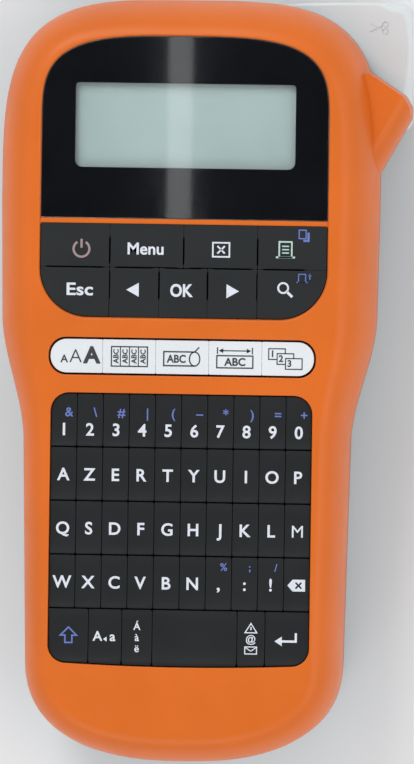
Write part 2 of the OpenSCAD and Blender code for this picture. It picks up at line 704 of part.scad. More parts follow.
module cutter_blade() {
    color("silver")
    slab([[blade_tip, blade_y], [blade_tip + 0.8, blade_y - blade_t / 2],
        [slider_x[0] + 3, blade_y - blade_t / 2], [slider_x[0] + 3, blade_y + blade_t / 2],
        [blade_tip + 0.8, blade_y + blade_t / 2]], slider_z[0] + 0.6, slider_z[1] - 1.2);
}
module cutter_anvil() {
    color("silver")
    block([tape_x - 3, tape_x], anvil_y, [lever_z - 2, plate_z[0]]);
}

// ---------------------------------------------------------------- tape cassette
case_t = 1.2;
notch_x = tape_x - 7.5;
notch_y = [head_y[0] - 2, head_y[1] + 2];
reel_r = 17;
reel_post_r = 4;
well_r = 4.2;
module cassette_case() {
    top = cassette_z + cassette[2];
    color("lightgray")
    difference() {
        union() {
            difference() {
                slab(rounded(box_points(cassette_x[0], cassette_x[1], cassette_y[0], cassette_y[1], 2, 2)),
                    cassette_z, top);
                block([cassette_x[0] + case_t, cassette_x[1] - case_t],
                    [cassette_y[0] + case_t, cassette_y[1] - case_t], [cassette_z + case_t, top - case_t]);
            }
            rod(ribbon_at[0], ribbon_at[1], [cassette_z + eps, top - eps], well_r + case_t);
            rod(reel_at[0], reel_at[1], [cassette_z + eps, top - eps], reel_post_r);
            block([notch_x - case_t, cassette_x[1]], [notch_y[0] - case_t, notch_y[1] + case_t],
                [cassette_z + eps, top - eps]);
        }
        rod(ribbon_at[0], ribbon_at[1], [0, body_d], well_r);
        block([notch_x, cassette_x[1] + 5], notch_y, [0, body_d]);
    }
}
module tape_reel() {
    color("white")
    difference() {
        rod(reel_at[0], reel_at[1], [cassette_z + case_t + 0.8, cassette_z + cassette[2] - case_t - 0.8],
            reel_r, 64);
        rod(reel_at[0], reel_at[1], [0, body_d], reel_post_r + shaft_fit);
    }
}

// ---------------------------------------------------------------- power
cell_pitch = 2 * cell_r + 0.2;
cell_z = back_t + 0.5 + cell_r;
box_t = 1;
contact_t = 0.4;
spring_room = 3.4;
box_y = [heel_y + battery_heel, heel_y + battery_heel + cell_l + 2 * (spring_room + contact_t + box_t)];
cell_y = [box_y[0] + box_t + contact_t + spring_room, box_y[1] - box_t - contact_t - spring_room];
box_x = cells * cell_pitch / 2 + 0.4 + box_t;
function cell_x(i) = (i - (cells - 1) / 2) * cell_pitch;
module battery_box() {
    color("dimgray")
    difference() {
        block([-box_x, box_x], box_y, [back_t, cell_z + cell_r + 2]);
        block([-box_x + box_t, box_x - box_t], [box_y[0] + box_t, box_y[1] - box_t],
            [0, cell_z + cell_r + 0.4]);
    }
}
module battery_cells() {
    color("steelblue")
    for (i = [0 : cells - 1]) let (up = i % 2)
        translate([cell_x(i), cell_y[0], cell_z]) rotate([-90, 0, 0]) union() {
            translate([0, 0, up ? 0 : 0.8]) cylinder(r = cell_r, h = cell_l - 0.8, $fn = 48);
            translate([0, 0, up ? cell_l - 0.8 - eps : 0]) cylinder(r = 1.9, h = 0.8 + eps, $fn = 24);
        }
}
module battery_contacts() {
    color("silver")
    for (i = [0 : cells - 1]) for (end = [0, 1])
        let (y = end == 0 ? box_y[0] + box_t : box_y[1] - box_t - contact_t, flat = (i % 2) != end)
        translate([cell_x(i) - 3.6, y, cell_z - 3.6]) union() {
            cube([7.2, contact_t, 7.2]);
            if (!flat) translate([1.6, end == 0 ? contact_t - eps : -spring_room, 1.6])
                cube([4, spring_room + eps, 4]);
        }
}
module battery_springs() {
    color("silver")
    for (i = [0 : cells - 1]) let (up = i % 2)
        translate([cell_x(i), up ? box_y[0] + box_t + contact_t + 0.25 : cell_y[1] + 0.25, cell_z])
            rotate([-90, 0, 0]) coil(2.9, 0.25, spring_room - 0.5, 2, 5, 10);
}
module dc_jack() {
    color("black")
    union() {
        difference() {
            block([-jack_face, -jack_face + jack_l], [ty(jack_y) - 4.5, ty(jack_y) + 4.5],
                [jack_z - jack_h / 2, jack_z + jack_h / 2]);
            translate([-jack_face - 1, ty(jack_y), jack_z]) rotate([0, 90, 0])
                cylinder(r = jack_r, h = 10, $fn = 48);
        }
        translate([-jack_face + 0.5, ty(jack_y), jack_z]) rotate([0, 90, 0])
            cylinder(r = jack_pin_r, h = 9, $fn = 32);
    }
}

front_shell();
rear_shell();
back_cover();
cover_window();
display_lens();
lcd_panel();
lcd_frame();
main_board();
key_mat();
print_chassis();
print_head();
heat_sink();
platen_roller();
platen_gear();
motor();
motor_pinion();
reduction_gear();
idler_gear();
ribbon_spindle();
gear_axles();
cutter_lever();
blade_slider();
cutter_blade();
cutter_anvil();
lever_pin();
lever_spring();
dc_jack();
battery_box();
battery_springs();
battery_contacts();
battery_cells();
cassette_case();
tape_reel();
case_screws();
function_key(0);  // key_power
function_key(1);  // key_menu
function_key(2);  // key_clear
function_key(3);  // key_print
function_key(4);  // key_escape
function_key(5);  // key_left
function_key(6);  // key_ok
function_key(7);  // key_right
function_key(8);  // key_search
hot_key(0);  // key_text_size
hot_key(1);  // key_table
hot_key(2);  // key_cable_flag
hot_key(3);  // key_faceplate
hot_key(4);  // key_series
key_row(0, [0 : 9]);  // digit_keys
key_row(1, [0 : 9]);  // upper_letter_keys
key_row(2, [0 : 9]);  // middle_letter_keys
key_row(3, [0 : 8]);  // lower_letter_keys
key_row(3, [9]);  // key_backspace
bottom_key(0);  // key_shift
bottom_key(1);  // key_caps
bottom_key(2);  // key_accent
bottom_key(3);  // key_space
bottom_key(4);  // key_symbol
bottom_key(5);  // key_enter
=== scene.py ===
"""Handheld label maker, lying on its back: casing, keys, display, cutter lever and inner parts.

Shapes are worked out in millimetres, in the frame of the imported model: +Z out of the keyboard
face, +Y towards the end where the tape comes out, +X towards the cutter lever.
"""
import math

import bpy
import numpy as np
from mathutils import Matrix, Vector


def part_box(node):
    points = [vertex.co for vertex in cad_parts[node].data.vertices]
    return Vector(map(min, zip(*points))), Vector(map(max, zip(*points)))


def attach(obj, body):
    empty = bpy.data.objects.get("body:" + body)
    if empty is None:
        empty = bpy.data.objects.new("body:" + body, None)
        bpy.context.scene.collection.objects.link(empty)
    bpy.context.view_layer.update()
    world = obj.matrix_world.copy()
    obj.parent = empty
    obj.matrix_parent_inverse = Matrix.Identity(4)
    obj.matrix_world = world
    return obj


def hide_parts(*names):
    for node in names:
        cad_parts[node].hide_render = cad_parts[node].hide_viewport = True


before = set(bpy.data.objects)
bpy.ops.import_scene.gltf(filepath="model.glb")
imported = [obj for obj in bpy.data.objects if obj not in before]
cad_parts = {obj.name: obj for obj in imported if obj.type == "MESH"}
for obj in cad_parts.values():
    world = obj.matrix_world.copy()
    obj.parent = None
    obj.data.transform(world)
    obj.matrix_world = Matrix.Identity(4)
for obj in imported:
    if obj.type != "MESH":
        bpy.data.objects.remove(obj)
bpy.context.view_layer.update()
MM = 0.001


def box_mm(node):
    """Lowest and highest corner of a CAD node, in millimetres."""
    low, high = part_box(node)
    return np.array(low) / MM, np.array(high) / MM


# ------------------------------------------------------------------ sizes that follow the frame
SHELL_LOW, SHELL_HIGH = box_mm("front_shell")
TOP_Y = SHELL_HIGH[1]
HEEL_Y = SHELL_LOW[1]
FACE_Z = SHELL_HIGH[2]
SPLIT_Z = SHELL_LOW[2]
HEAD_HALF = -SHELL_LOW[0]
SHOULDER_HALF = HEAD_HALF - 0.5
HEEL_HALF = 43.0
GRIP_HALF = HEEL_HALF + 1.2
HEAD_CENTRE = TOP_Y - 54
HEAD_POWER = 3.7
HEEL_POWER = 2.45
HEEL_CENTRE = HEEL_Y + 28.5
WAIST_TOP, WAIST_FOOT = TOP_Y - 85.5, TOP_Y - 120.5
HEAD_ROLL, HANDLE_ROLL, BACK_ROLL = 10.0, 7.5, 6.0
BACK_TAPER = 2.4
EDGE_RISE = 2.0
WALL = 2.2
LENS_LOW, LENS_HIGH = box_mm("display_lens")
LENS_HALF = LENS_HIGH[0]
PAD_TOP = box_mm("key_menu")[1][1] + 0.25
PAD_FOOT = box_mm("key_escape")[0][1]
STRIP_LOW, STRIP_HIGH = box_mm("key_text_size")[0], box_mm("key_series")[1]
KEYPAD_LOW, KEYPAD_HIGH = box_mm("key_shift")[0], box_mm("digit_keys")[1]
KEYPAD_HALF = -KEYPAD_LOW[0]
KEYPAD_SAG = 1.0
KEYPAD_FOOT = KEYPAD_HIGH[1] + 0.25 - 72.95
KEY_Z = KEYPAD_HIGH[2]


def ease(u):
    """Smooth step from 0 to 1."""
    u = np.clip(u, 0, 1)
    return u * u * (3 - 2 * u)


def mix(a, b, u):
    """Value between a and b, a share u of the way."""
    return a + (b - a) * u


# ------------------------------------------------------------------ meshes
def grid_faces(rows, cols):
    """Quads between the rows of a grid of points, with the last column joined to the first."""
    i = np.arange(cols)
    j = (i + 1) % cols
    k = np.arange(rows - 1)[:, None] * cols
    return np.stack([k + i, k + j, k + cols + j, k + cols + i], -1).reshape(-1, 4).tolist()


def stack_faces(rows, cols):
    """Faces of a closed stack of rings, lowest ring first, each ring anticlockwise from above."""
    return (grid_faces(rows, cols) + [list(range(cols - 1, -1, -1))]
            + [list(range((rows - 1) * cols, rows * cols))])


def joined(shapes):
    """Several (points, faces) shapes as one."""
    points, faces, start = [], [], 0
    for p, f in shapes:
        points.append(p)
        faces += [[v + start for v in face] for face in f]
        start += len(p)
    return np.concatenate(points), faces


def shape_object(name, shape):
    """A bare object of a (points, faces) shape given in millimetres."""
    points, faces = shape
    mesh = bpy.data.meshes.new(name)
    mesh.from_pydata((np.asarray(points) * MM).tolist(), [], faces)
    mesh.update()
    made = bpy.data.objects.new(name, mesh)
    bpy.context.scene.collection.objects.link(made)
    return made


def weighted(piece):
    """Lets the large faces set the shading along soft edges."""
    soft = piece.modifiers.new("face_weights", "WEIGHTED_NORMAL")
    soft.keep_sharp = True


def smoothed(piece, angle=32):
    """Smooth shading between faces that meet at less than the angle."""
    piece.data.shade_smooth()
    piece.data.set_sharp_from_angle(angle=math.radians(angle))
    weighted(piece)


def bevelled(piece, width, segments=3, angle=35):
    """Rounds the edges sharper than the angle."""
    edge = piece.modifiers.new("edges", "BEVEL")
    edge.width = width * MM
    edge.segments = segments
    edge.limit_method = "ANGLE"
    edge.angle_limit = math.radians(angle)
    edge.harden_normals = False


def finished(piece, material, body, replaces=()):
    """Gives a piece its material, its body and the CAD nodes it stands for."""
    piece.data.materials.clear()
    piece.data.materials.append(material)
    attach(piece, body)
    if replaces:
        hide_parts(*replaces)
    return piece


def cut(piece, cutters, operation="DIFFERENCE"):
    """Booleans the cutters' shapes with the piece and keeps the result as its mesh."""
    tools = [shape_object("cutter", c) for c in cutters]
    for tool in tools:
        step = piece.modifiers.new("cut", "BOOLEAN")
        step.operation = operation
        step.object = tool
        step.solver = "MANIFOLD"
    depsgraph = bpy.context.evaluated_depsgraph_get()
    result = bpy.data.meshes.new_from_object(piece.evaluated_get(depsgraph))
    old = piece.data
    piece.modifiers.clear()
    piece.data = result
    result.name = piece.name
    bpy.data.meshes.remove(old)
    for tool in tools:
        mesh = tool.data
        bpy.data.objects.remove(tool)
        bpy.data.meshes.remove(mesh)
    return piece


def prism(outline, z0, z1):
    """Upright solid on an outline that runs anticlockwise."""
    n = len(outline)
    points = np.concatenate([np.c_[outline, np.full(n, z)] for z in (z0, z1)])
    return points, stack_faces(2, n)


def rod(centre, z0, z1, radius, sides=64, axis=2):
    """Round solid along an axis: 2 is Z, 0 is X."""
    a = np.linspace(0, 2 * np.pi, sides, endpoint=False)
    points, faces = prism(radius * np.c_[np.cos(a), np.sin(a)], z0, z1)
    if axis == 0:
        points = points[:, [2, 0, 1]]
    return points + centre, faces


def rounded_box(x0, x1, y0, y1, radii, arc=8, side=6):
    """Anticlockwise outline of a box with its own corner radius at each corner, from lower left."""
    corners = [(x0, y0, 180), (x1, y0, 270), (x1, y1, 0), (x0, y1, 90)]
    signs = [(1, 1), (-1, 1), (-1, -1), (1, -1)]
    arcs = []
    for (x, y, start), (sx, sy), r in zip(corners, signs, radii):
        a = np.radians(np.linspace(start, start + 90, arc))
        arcs.append(np.c_[x + sx * r + r * np.cos(a), y + sy * r + r * np.sin(a)])
    out = []
    for k in range(4):
        out.append(arcs[k])
        a, b = arcs[k][-1], arcs[(k + 1) % 4][0]
        out.append(a + (b - a) * (np.arange(1, side) / side)[:, None])
    return np.concatenate(out)


def arc(centre, radius, start, end, steps=28):
    """Points of a circle from one angle to another, in degrees anticlockwise."""
    a = np.radians(np.linspace(start, end, steps))
    return np.c_[centre[0] + radius * np.cos(a), centre[1] + radius * np.sin(a)]


def offset(outline, distance):
    """An anticlockwise outline moved outwards along its normals."""
    ahead = np.roll(outline, -1, 0) - np.roll(outline, 1, 0)
    ahead /= np.linalg.norm(ahead, axis=1, keepdims=True)
    return outline + np.reshape(distance, (-1, 1)) * np.c_[ahead[:, 1], -ahead[:, 0]]


# ------------------------------------------------------------------ body outline
OUTLINE_POINTS = 420


def body_outline():
    """Anticlockwise outline of the body: a superellipse heel, eased sides and a superellipse head,
    spaced evenly along its length."""
    t = np.radians(np.linspace(90, 0, 160))
    heel = np.c_[HEEL_HALF * np.cos(t) ** (2 / HEEL_POWER),
                 HEEL_CENTRE - (HEEL_CENTRE - HEEL_Y) * np.sin(t) ** (2 / HEEL_POWER)]
    y = np.linspace(HEEL_CENTRE, HEAD_CENTRE, 200)[1:-1]
    handle = mix(GRIP_HALF, HEEL_HALF, (WAIST_FOOT - y) / (WAIST_FOOT - HEEL_CENTRE))
    waist = mix(SHOULDER_HALF, GRIP_HALF, ease((WAIST_TOP - y) / (WAIST_TOP - WAIST_FOOT)))
    head_side = mix(HEAD_HALF, SHOULDER_HALF, (HEAD_CENTRE - y) / (HEAD_CENTRE - WAIST_TOP))
    side = np.c_[np.where(y > WAIST_TOP, head_side, np.where(y > WAIST_FOOT, waist, handle)), y]
    t = t[::-1]
    head = np.c_[HEAD_HALF * np.cos(t) ** (2 / HEAD_POWER),
                 HEAD_CENTRE + (TOP_Y - HEAD_CENTRE) * np.sin(t) ** (2 / HEAD_POWER)]
    right = np.concatenate([heel, side, head])
    right[[0, -1], 0] = 0
    run = np.r_[0, np.cumsum(np.linalg.norm(np.diff(right, axis=0), axis=1))]
    even = np.linspace(0, run[-1], OUTLINE_POINTS // 2 + 1)
    right = np.c_[np.interp(even, run, right[:, 0]), np.interp(even, run, right[:, 1])]
    return np.concatenate([right, (right * [-1, 1])[-2:0:-1]])


OUTLINE = body_outline()


def front_roll(y):
    """Radius of the front edge, wider round the head than round the handle."""
    return mix(HANDLE_ROLL, HEAD_ROLL, ease((y - WAIST_FOOT) / (WAIST_TOP - WAIST_FOOT)))


def rolled_stack(outline, radii, z_open, z_face, lip=0.0, steps=14, taper=0.0, rise=1.0):
    """Closed stack of rings from an open edge to a face, with a quarter-round edge of each point's
    own radius. z_face may lie below z_open, for the back. lip chamfers the open edge, taper is how
    far the sides come in by the time they reach the face, and rise is the height of the rolled
    edge for each unit of its width."""
    turn = 1 if z_face > z_open else -1
    a = np.linspace(0, np.pi / 2, steps + 1)[:, None]
    z = z_face - turn * rise * radii * (1 - np.sin(a))
    inset = radii * (1 - np.cos(a)) + taper * (z - z_open) / (z_face - z_open)
    rings = [np.c_[offset(outline, -i), h] for i, h in zip(inset, z)]
    edge = [(lip, z_open), (0, z_open + turn * lip)] if lip else [(0, z_open)]
    rings = [np.c_[offset(outline, -i), np.full(len(outline), h)] for i, h in edge] + rings
    if turn < 0:
        rings = rings[::-1]
    return np.concatenate(rings), stack_faces(len(rings), len(outline))


def lens_outline(grow=0.0):
    """Display outline: straight foot and sides under a superellipse arch, anticlockwise."""
    shoulder = TOP_Y - 33.5
    t = np.radians(np.linspace(0, 90, 40))
    arch = np.c_[(LENS_HALF + grow) * np.cos(t) ** (2 / 3.5),
                 shoulder + (LENS_HIGH[1] - shoulder + grow) * np.sin(t) ** (2 / 3.5)]
    arch[-1, 0] = 0
    foot = [[-LENS_HALF - grow, LENS_LOW[1] - grow], [LENS_HALF + grow, LENS_LOW[1] - grow]]
    return np.concatenate([foot, arch, (arch * [-1, 1])[-2::-1]])


def display_outline(grow=0.0):
    """Outline of the recess that holds the lens and the function pad together."""
    half, foot = LENS_HALF - 13, PAD_FOOT + 13
    return np.concatenate([arc((-half, foot), 13 + grow, 180, 270), arc((half, foot), 13 + grow, 270, 360),
                           lens_outline(grow)[2:]])


def flared(outline, z_foot, z_face, flare):
    """Cutter that opens out in a quarter round where it meets the face, for a soft lip."""
    a = np.linspace(0, np.pi / 2, 7)
    rings = [np.c_[outline, np.full(len(outline), z_foot)]]
    for grow, z in zip(flare * (1 - np.cos(a)), z_face - flare + flare * np.sin(a)):
        rings.append(np.c_[offset(outline, grow), np.full(len(outline), z)])
    rings.append(np.c_[offset(outline, flare), np.full(len(outline), z_face + 1)])
    return np.concatenate(rings), stack_faces(len(rings), len(outline))


def keypad_outline(grow=0.0):
    """Main keypad opening: round corners and a foot that sags towards its middle."""
    out = rounded_box(-KEYPAD_HALF - grow, KEYPAD_HALF + grow, KEYPAD_FOOT - grow,
                      KEYPAD_HIGH[1] + 0.25 + grow, [4.5 + grow, 4.5 + grow, 5 + grow, 5 + grow],
                      arc=14, side=24)
    return sagged(out)



def sagged(points):
    """Lets the lower third of the keypad sag, most at mid width."""
    low = KEYPAD_FOOT + 14.5
    share = np.clip((low - points[:, 1]) / (low - KEYPAD_FOOT), 0, 1)
    out = points.copy()
    out[:, 1] -= KEYPAD_SAG * share * (1 - np.clip(points[:, 0] / KEYPAD_HALF, -1, 1) ** 2)
    return out


# ------------------------------------------------------------------ materials
def shader(name):
    """New material; returns it with its nodes, links, Principled node and object coordinates."""
    material = bpy.data.materials.new(name)
    material.use_nodes = True
    nodes, links = material.node_tree.nodes, material.node_tree.links
    principled = nodes["Principled BSDF"]
    place = nodes.new("ShaderNodeTexCoord").outputs["Object"]
    return material, nodes, links, principled, place


def noise(nodes, links, place, scale, detail=2.0, roughness=0.5, stretch=None):
    """Noise on object coordinates, with cells of about 1/scale metres."""
    tex = nodes.new("ShaderNodeTexNoise")
    tex.inputs["Scale"].default_value = scale
    tex.inputs["Detail"].default_value = detail
    tex.inputs["Roughness"].default_value = roughness
    if stretch:
        mapping = nodes.new("ShaderNodeMapping")
        mapping.inputs["Scale"].default_value = stretch
        links.new(place, mapping.inputs["Vector"])
        place = mapping.outputs["Vector"]
    links.new(place, tex.inputs["Vector"])
    return tex.outputs["Fac"]


def ramp(nodes, links, factor, low, high, start=0.35, end=0.65):
    """Colour between low and high as the factor goes from start to end."""
    node = nodes.new("ShaderNodeValToRGB")
    node.color_ramp.elements[0].position = start
    node.color_ramp.elements[1].position = end
    node.color_ramp.elements[0].color = (*low, 1)
    node.color_ramp.elements[1].color = (*high, 1)
    links.new(factor, node.inputs["Fac"])
    return node.outputs["Color"]


def span(nodes, links, factor, low, high):
    """Number between low and high as the factor goes from 0.3 to 0.7."""
    node = nodes.new("ShaderNodeMapRange")
    node.inputs["From Min"].default_value = 0.3
    node.inputs["From Max"].default_value = 0.7
    node.inputs["To Min"].default_value = low
    node.inputs["To Max"].default_value = high
    links.new(factor, node.inputs["Value"])
    return node.outputs["Result"]


def bump(nodes, links, principled, height, distance):
    """Fine relief, distance in millimetres."""
    node = nodes.new("ShaderNodeBump")
    node.inputs["Distance"].default_value = distance * MM
    node.inputs["Strength"].default_value = 1.0
    links.new(height, node.inputs["Height"])
    links.new(node.outputs["Normal"], principled.inputs["Normal"])


def linear(red, green, blue):
    """Linear colour of an sRGB colour given as 0 to 255."""
    c = np.array([red, green, blue]) / 255
    return tuple(np.where(c <= 0.04045, c / 12.92, ((c + 0.055) / 1.055) ** 2.4).tolist())


def plastic(name, colour, roughness=0.4, grain=0.35, relief=0.012, mottle=0.05, coat=0.0, sheen=0.0,
            gloss=0.5):
    """Moulded plastic: a fine spark-eroded grain, faint flow mottling and uneven gloss.
    grain is the grain's size and relief its height, both in millimetres."""
    material, nodes, links, principled, place = shader(name)
    low = tuple(c * (1 - mottle) for c in colour)
    high = tuple(min(1, c * (1 + mottle)) for c in colour)
    flow = noise(nodes, links, place, 45, 3)
    links.new(ramp(nodes, links, flow, low, high), principled.inputs["Base Color"])
    fine = noise(nodes, links, place, 1000 / grain, 2, 0.6)
    smears = noise(nodes, links, place, 120, 4, 0.6)
    links.new(span(nodes, links, smears, roughness * 0.9, roughness * 1.12), principled.inputs["Roughness"])
    bump(nodes, links, principled, fine, relief)
    principled.inputs["Coat Weight"].default_value = coat
    principled.inputs["Coat Roughness"].default_value = 0.12
    principled.inputs["Sheen Weight"].default_value = sheen
    principled.inputs["Specular IOR Level"].default_value = gloss
    return material


def metal(name, colour, roughness=0.3, stretch=(1, 1, 12)):
    """Drawn or turned metal: fine lines along the working direction and uneven gloss."""
    material, nodes, links, principled, place = shader(name)
    principled.inputs["Metallic"].default_value = 1.0
    dull = noise(nodes, links, place, 260, 3)
    low = tuple(c * 0.9 for c in colour)
    links.new(ramp(nodes, links, dull, low, colour), principled.inputs["Base Color"])
    drawn = noise(nodes, links, place, 4000, 2, 0.5, stretch)
    links.new(span(nodes, links, drawn, roughness * 0.75, roughness * 1.3), principled.inputs["Roughness"])
    bump(nodes, links, principled, drawn, 0.004)
    return material


INK_ROUGHNESS = 0.45


def ink(name, colour):
    """Screen-printed ink: a slightly uneven film."""
    material, nodes, links, principled, place = shader(name)
    film = noise(nodes, links, place, 900, 3)
    low = tuple(c * 0.9 for c in colour)
    links.new(ramp(nodes, links, film, low, colour, 0.3, 0.6), principled.inputs["Base Color"])
    links.new(span(nodes, links, film, INK_ROUGHNESS * 0.9, INK_ROUGHNESS * 1.15),
              principled.inputs["Roughness"])
    bump(nodes, links, principled, noise(nodes, links, place, 3500), 0.004)
    return material


ORANGE = plastic("orange_abs", linear(222, 108, 30), 0.4, 0.3, 0.006, 0.03, gloss=0.32)
CHARCOAL = plastic("charcoal_abs", linear(48, 50, 53), 0.5, 0.4, 0.02, 0.08)
KEY_DARK = plastic("dark_key_rubber", linear(25, 27, 29), 0.5, 0.3, 0.008, 0.08, gloss=0.3)
KEY_PAD = plastic("function_key_rubber", linear(31, 34, 36), 0.55, 0.3, 0.008, 0.08, gloss=0.3)
KEY_WHITE = plastic("white_key_plastic", linear(228, 232, 235), 0.4, 0.3, 0.006, 0.02)
LEVER_WHITE = plastic("lever_plastic", linear(222, 227, 228), 0.38, 0.35, 0.006, 0.02)
INNER_PLASTIC = plastic("inner_plastic", linear(120, 122, 125), 0.5, 0.4, 0.015, 0.06)
CASSETTE_PLASTIC = plastic("cassette_plastic", linear(92, 95, 98), 0.45, 0.35, 0.012, 0.06)
GEAR_PLASTIC = plastic("gear_plastic", linear(226, 224, 216), 0.42, 0.3, 0.006, 0.03)
SOCKET_PLASTIC = plastic("socket_plastic", linear(28, 28, 30), 0.45, 0.3, 0.01, 0.08)
RUBBER = plastic("silicone_rubber", linear(58, 60, 62), 0.65, 0.25, 0.012, 0.08, sheen=0.1)
BOARD = plastic("solder_mask", linear(28, 92, 52), 0.3, 0.8, 0.01, 0.12, coat=0.3)
SLEEVE = plastic("cell_sleeve", linear(38, 74, 140), 0.3, 0.6, 0.004, 0.05, coat=0.4)
CERAMIC = plastic("glazed_ceramic", linear(30, 30, 32), 0.18, 0.5, 0.003, 0.05, coat=0.5)
STEEL = metal("plated_steel", (0.66, 0.66, 0.67), 0.28)
ALUMINIUM = metal("extruded_aluminium", (0.8, 0.8, 0.81), 0.35, (1, 12, 1))
BRASS = metal("turned_brass", (0.72, 0.52, 0.24), 0.3)
INK_WHITE = ink("white_ink", linear(226, 230, 238))
INK_BLUE = ink("blue_ink", linear(104, 122, 190))
INK_ROSE = ink("rose_ink", linear(165, 140, 140))
INK_GREEN = ink("pale_green_ink", linear(190, 218, 208))
INK_GREY = ink("dark_grey_ink", linear(58, 60, 64))


def black_acrylic():
    """Polished black lens border: deep black under a hard clear surface with faint handling marks."""
    material, nodes, links, principled, place = shader("black_acrylic")
    haze = noise(nodes, links, place, 70, 4)
    links.new(ramp(nodes, links, haze, (0.0022, 0.0026, 0.0036), (0.0034, 0.004, 0.0054)),
              principled.inputs["Base Color"])
    marks = noise(nodes, links, place, 300, 5, 0.7)
    links.new(span(nodes, links, marks, 0.035, 0.09), principled.inputs["Roughness"])
    principled.inputs["IOR"].default_value = 1.49
    return material


def liquid_crystal():
    """Reflective grey-green display: faint clouding and a soft polariser grain."""
    material, nodes, links, principled, place = shader("liquid_crystal")
    cloud = noise(nodes, links, place, 28, 3)
    base = ramp(nodes, links, cloud, linear(160, 178, 176), linear(170, 187, 185))
    links.new(base, principled.inputs["Base Color"])
    fine = noise(nodes, links, place, 2600, 2)
    links.new(span(nodes, links, fine, 0.32, 0.42), principled.inputs["Roughness"])
    bump(nodes, links, principled, fine, 0.003)
    return material


def clear_pane(name):
    """Clear moulded pane with faint waviness; lamps shine through it."""
    material, nodes, links, principled, place = shader(name)
    tint = (0.97, 0.99, 0.99)
    wave = noise(nodes, links, place, 60, 3)
    links.new(ramp(nodes, links, wave, tuple(0.985 * c for c in tint), tint), principled.inputs["Base Color"])
    principled.inputs["Roughness"].default_value = 0.02
    principled.inputs["Transmission Weight"].default_value = 1.0
    principled.inputs["IOR"].default_value = 1.49
    rays = nodes.new("ShaderNodeLightPath")
    through = nodes.new("ShaderNodeBsdfTransparent")
    pick = nodes.new("ShaderNodeMixShader")
    links.new(rays.outputs["Is Shadow Ray"], pick.inputs["Fac"])
    links.new(principled.outputs["BSDF"], pick.inputs[1])
    links.new(through.outputs["BSDF"], pick.inputs[2])
    links.new(pick.outputs["Shader"], nodes["Material Output"].inputs["Surface"])
    return material


LENS_BLACK = black_acrylic()
LCD = liquid_crystal()
PANE = clear_pane("clear_acrylic")

# ------------------------------------------------------------------ front of the casing
RECESS_FLOOR = 57.2
FIN_TOP = box_mm("cutter_lever")[1][2] + 21


def fin_outline():
    """Shoulder over the lever's pin, seen from above."""
    tip_x = SHELL_HIGH[0]
    corners = np.array([[HEAD_HALF - 4, TOP_Y - 48.5], [HEAD_HALF - 0.3, TOP_Y - 47],
                        [tip_x, TOP_Y - 31.4], [tip_x, TOP_Y - 28.4], [tip_x - 1.6, TOP_Y - 25.4],
                        [HEAD_HALF - 2.4, TOP_Y - 19.2], [HEAD_HALF - 4, TOP_Y - 19.2]])
    return round_corners(corners, [0, 2, 1.6, 2, 2, 0, 0])


def fin_shape():
    """Upper half of the shoulder: upright walls under a top that rolls off along its outer edge."""
    slab = shape_object("shoulder", prism(fin_outline(), SPLIT_Z, FIN_TOP + 1))
    edge = np.array([SHELL_HIGH[0] - HEAD_HALF + 0.3, 15.6])
    edge /= np.linalg.norm(edge)
    out = np.array([edge[1], -edge[0]])
    start = np.array([HEAD_HALF - 0.3, TOP_Y - 47])
    a = np.linspace(0, np.pi / 2, 15)
    profile = np.concatenate([[(-30, SPLIT_Z - 1), (0, SPLIT_Z - 1)],
                              np.c_[5.5 * (np.cos(a) - 1), FIN_TOP - 9 * (1 - np.sin(a))],
                              [(-30, FIN_TOP)]])
    past_both_ends = (60, -30)
    rings = [np.c_[start + profile[:, :1] * out + reach * edge, profile[:, 1]] for reach in past_both_ends]
    cut(slab, [(np.concatenate(rings), stack_faces(2, len(profile)))], "INTERSECT")
    points = np.array([v.co for v in slab.data.vertices]) / MM
    faces = [list(f.vertices) for f in slab.data.polygons]
    mesh = slab.data
    bpy.data.objects.remove(slab)
    bpy.data.meshes.remove(mesh)
    return points, faces


def round_corners(corners, radii, steps=8, spacing=0.8):
    """Closed outline through the corners, each rounded with its own radius, with extra points
    along the straight runs."""
    n = len(corners)
    out = []
    for k in range(n):
        p, r = corners[k], radii[k]
        a = corners[k - 1] - p
        b = corners[(k + 1) % n] - p
        a, b = a / np.linalg.norm(a), b / np.linalg.norm(b)
        if r == 0:
            out.append(p[None])
            continue
        half = math.acos(np.clip(a @ b, -1, 1)) / 2
        centre = p + (a + b) / np.linalg.norm(a + b) * r / math.sin(half)
        s, e = p + a * r / math.tan(half) - centre, p + b * r / math.tan(half) - centre
        turn = math.atan2(s[0] * e[1] - s[1] * e[0], s @ e)
        w = math.atan2(s[1], s[0]) + turn * np.linspace(0, 1, steps)
        out.append(centre + r * np.c_[np.cos(w), np.sin(w)])
    loop = np.concatenate(out)
    ends = np.roll(loop, -1, 0)
    filled = []
    for p, q in zip(loop, ends):
        count = max(1, int(np.linalg.norm(q - p) / spacing))
        filled.append(p + (q - p) * (np.arange(count) / count)[:, None])
    return np.concatenate(filled)


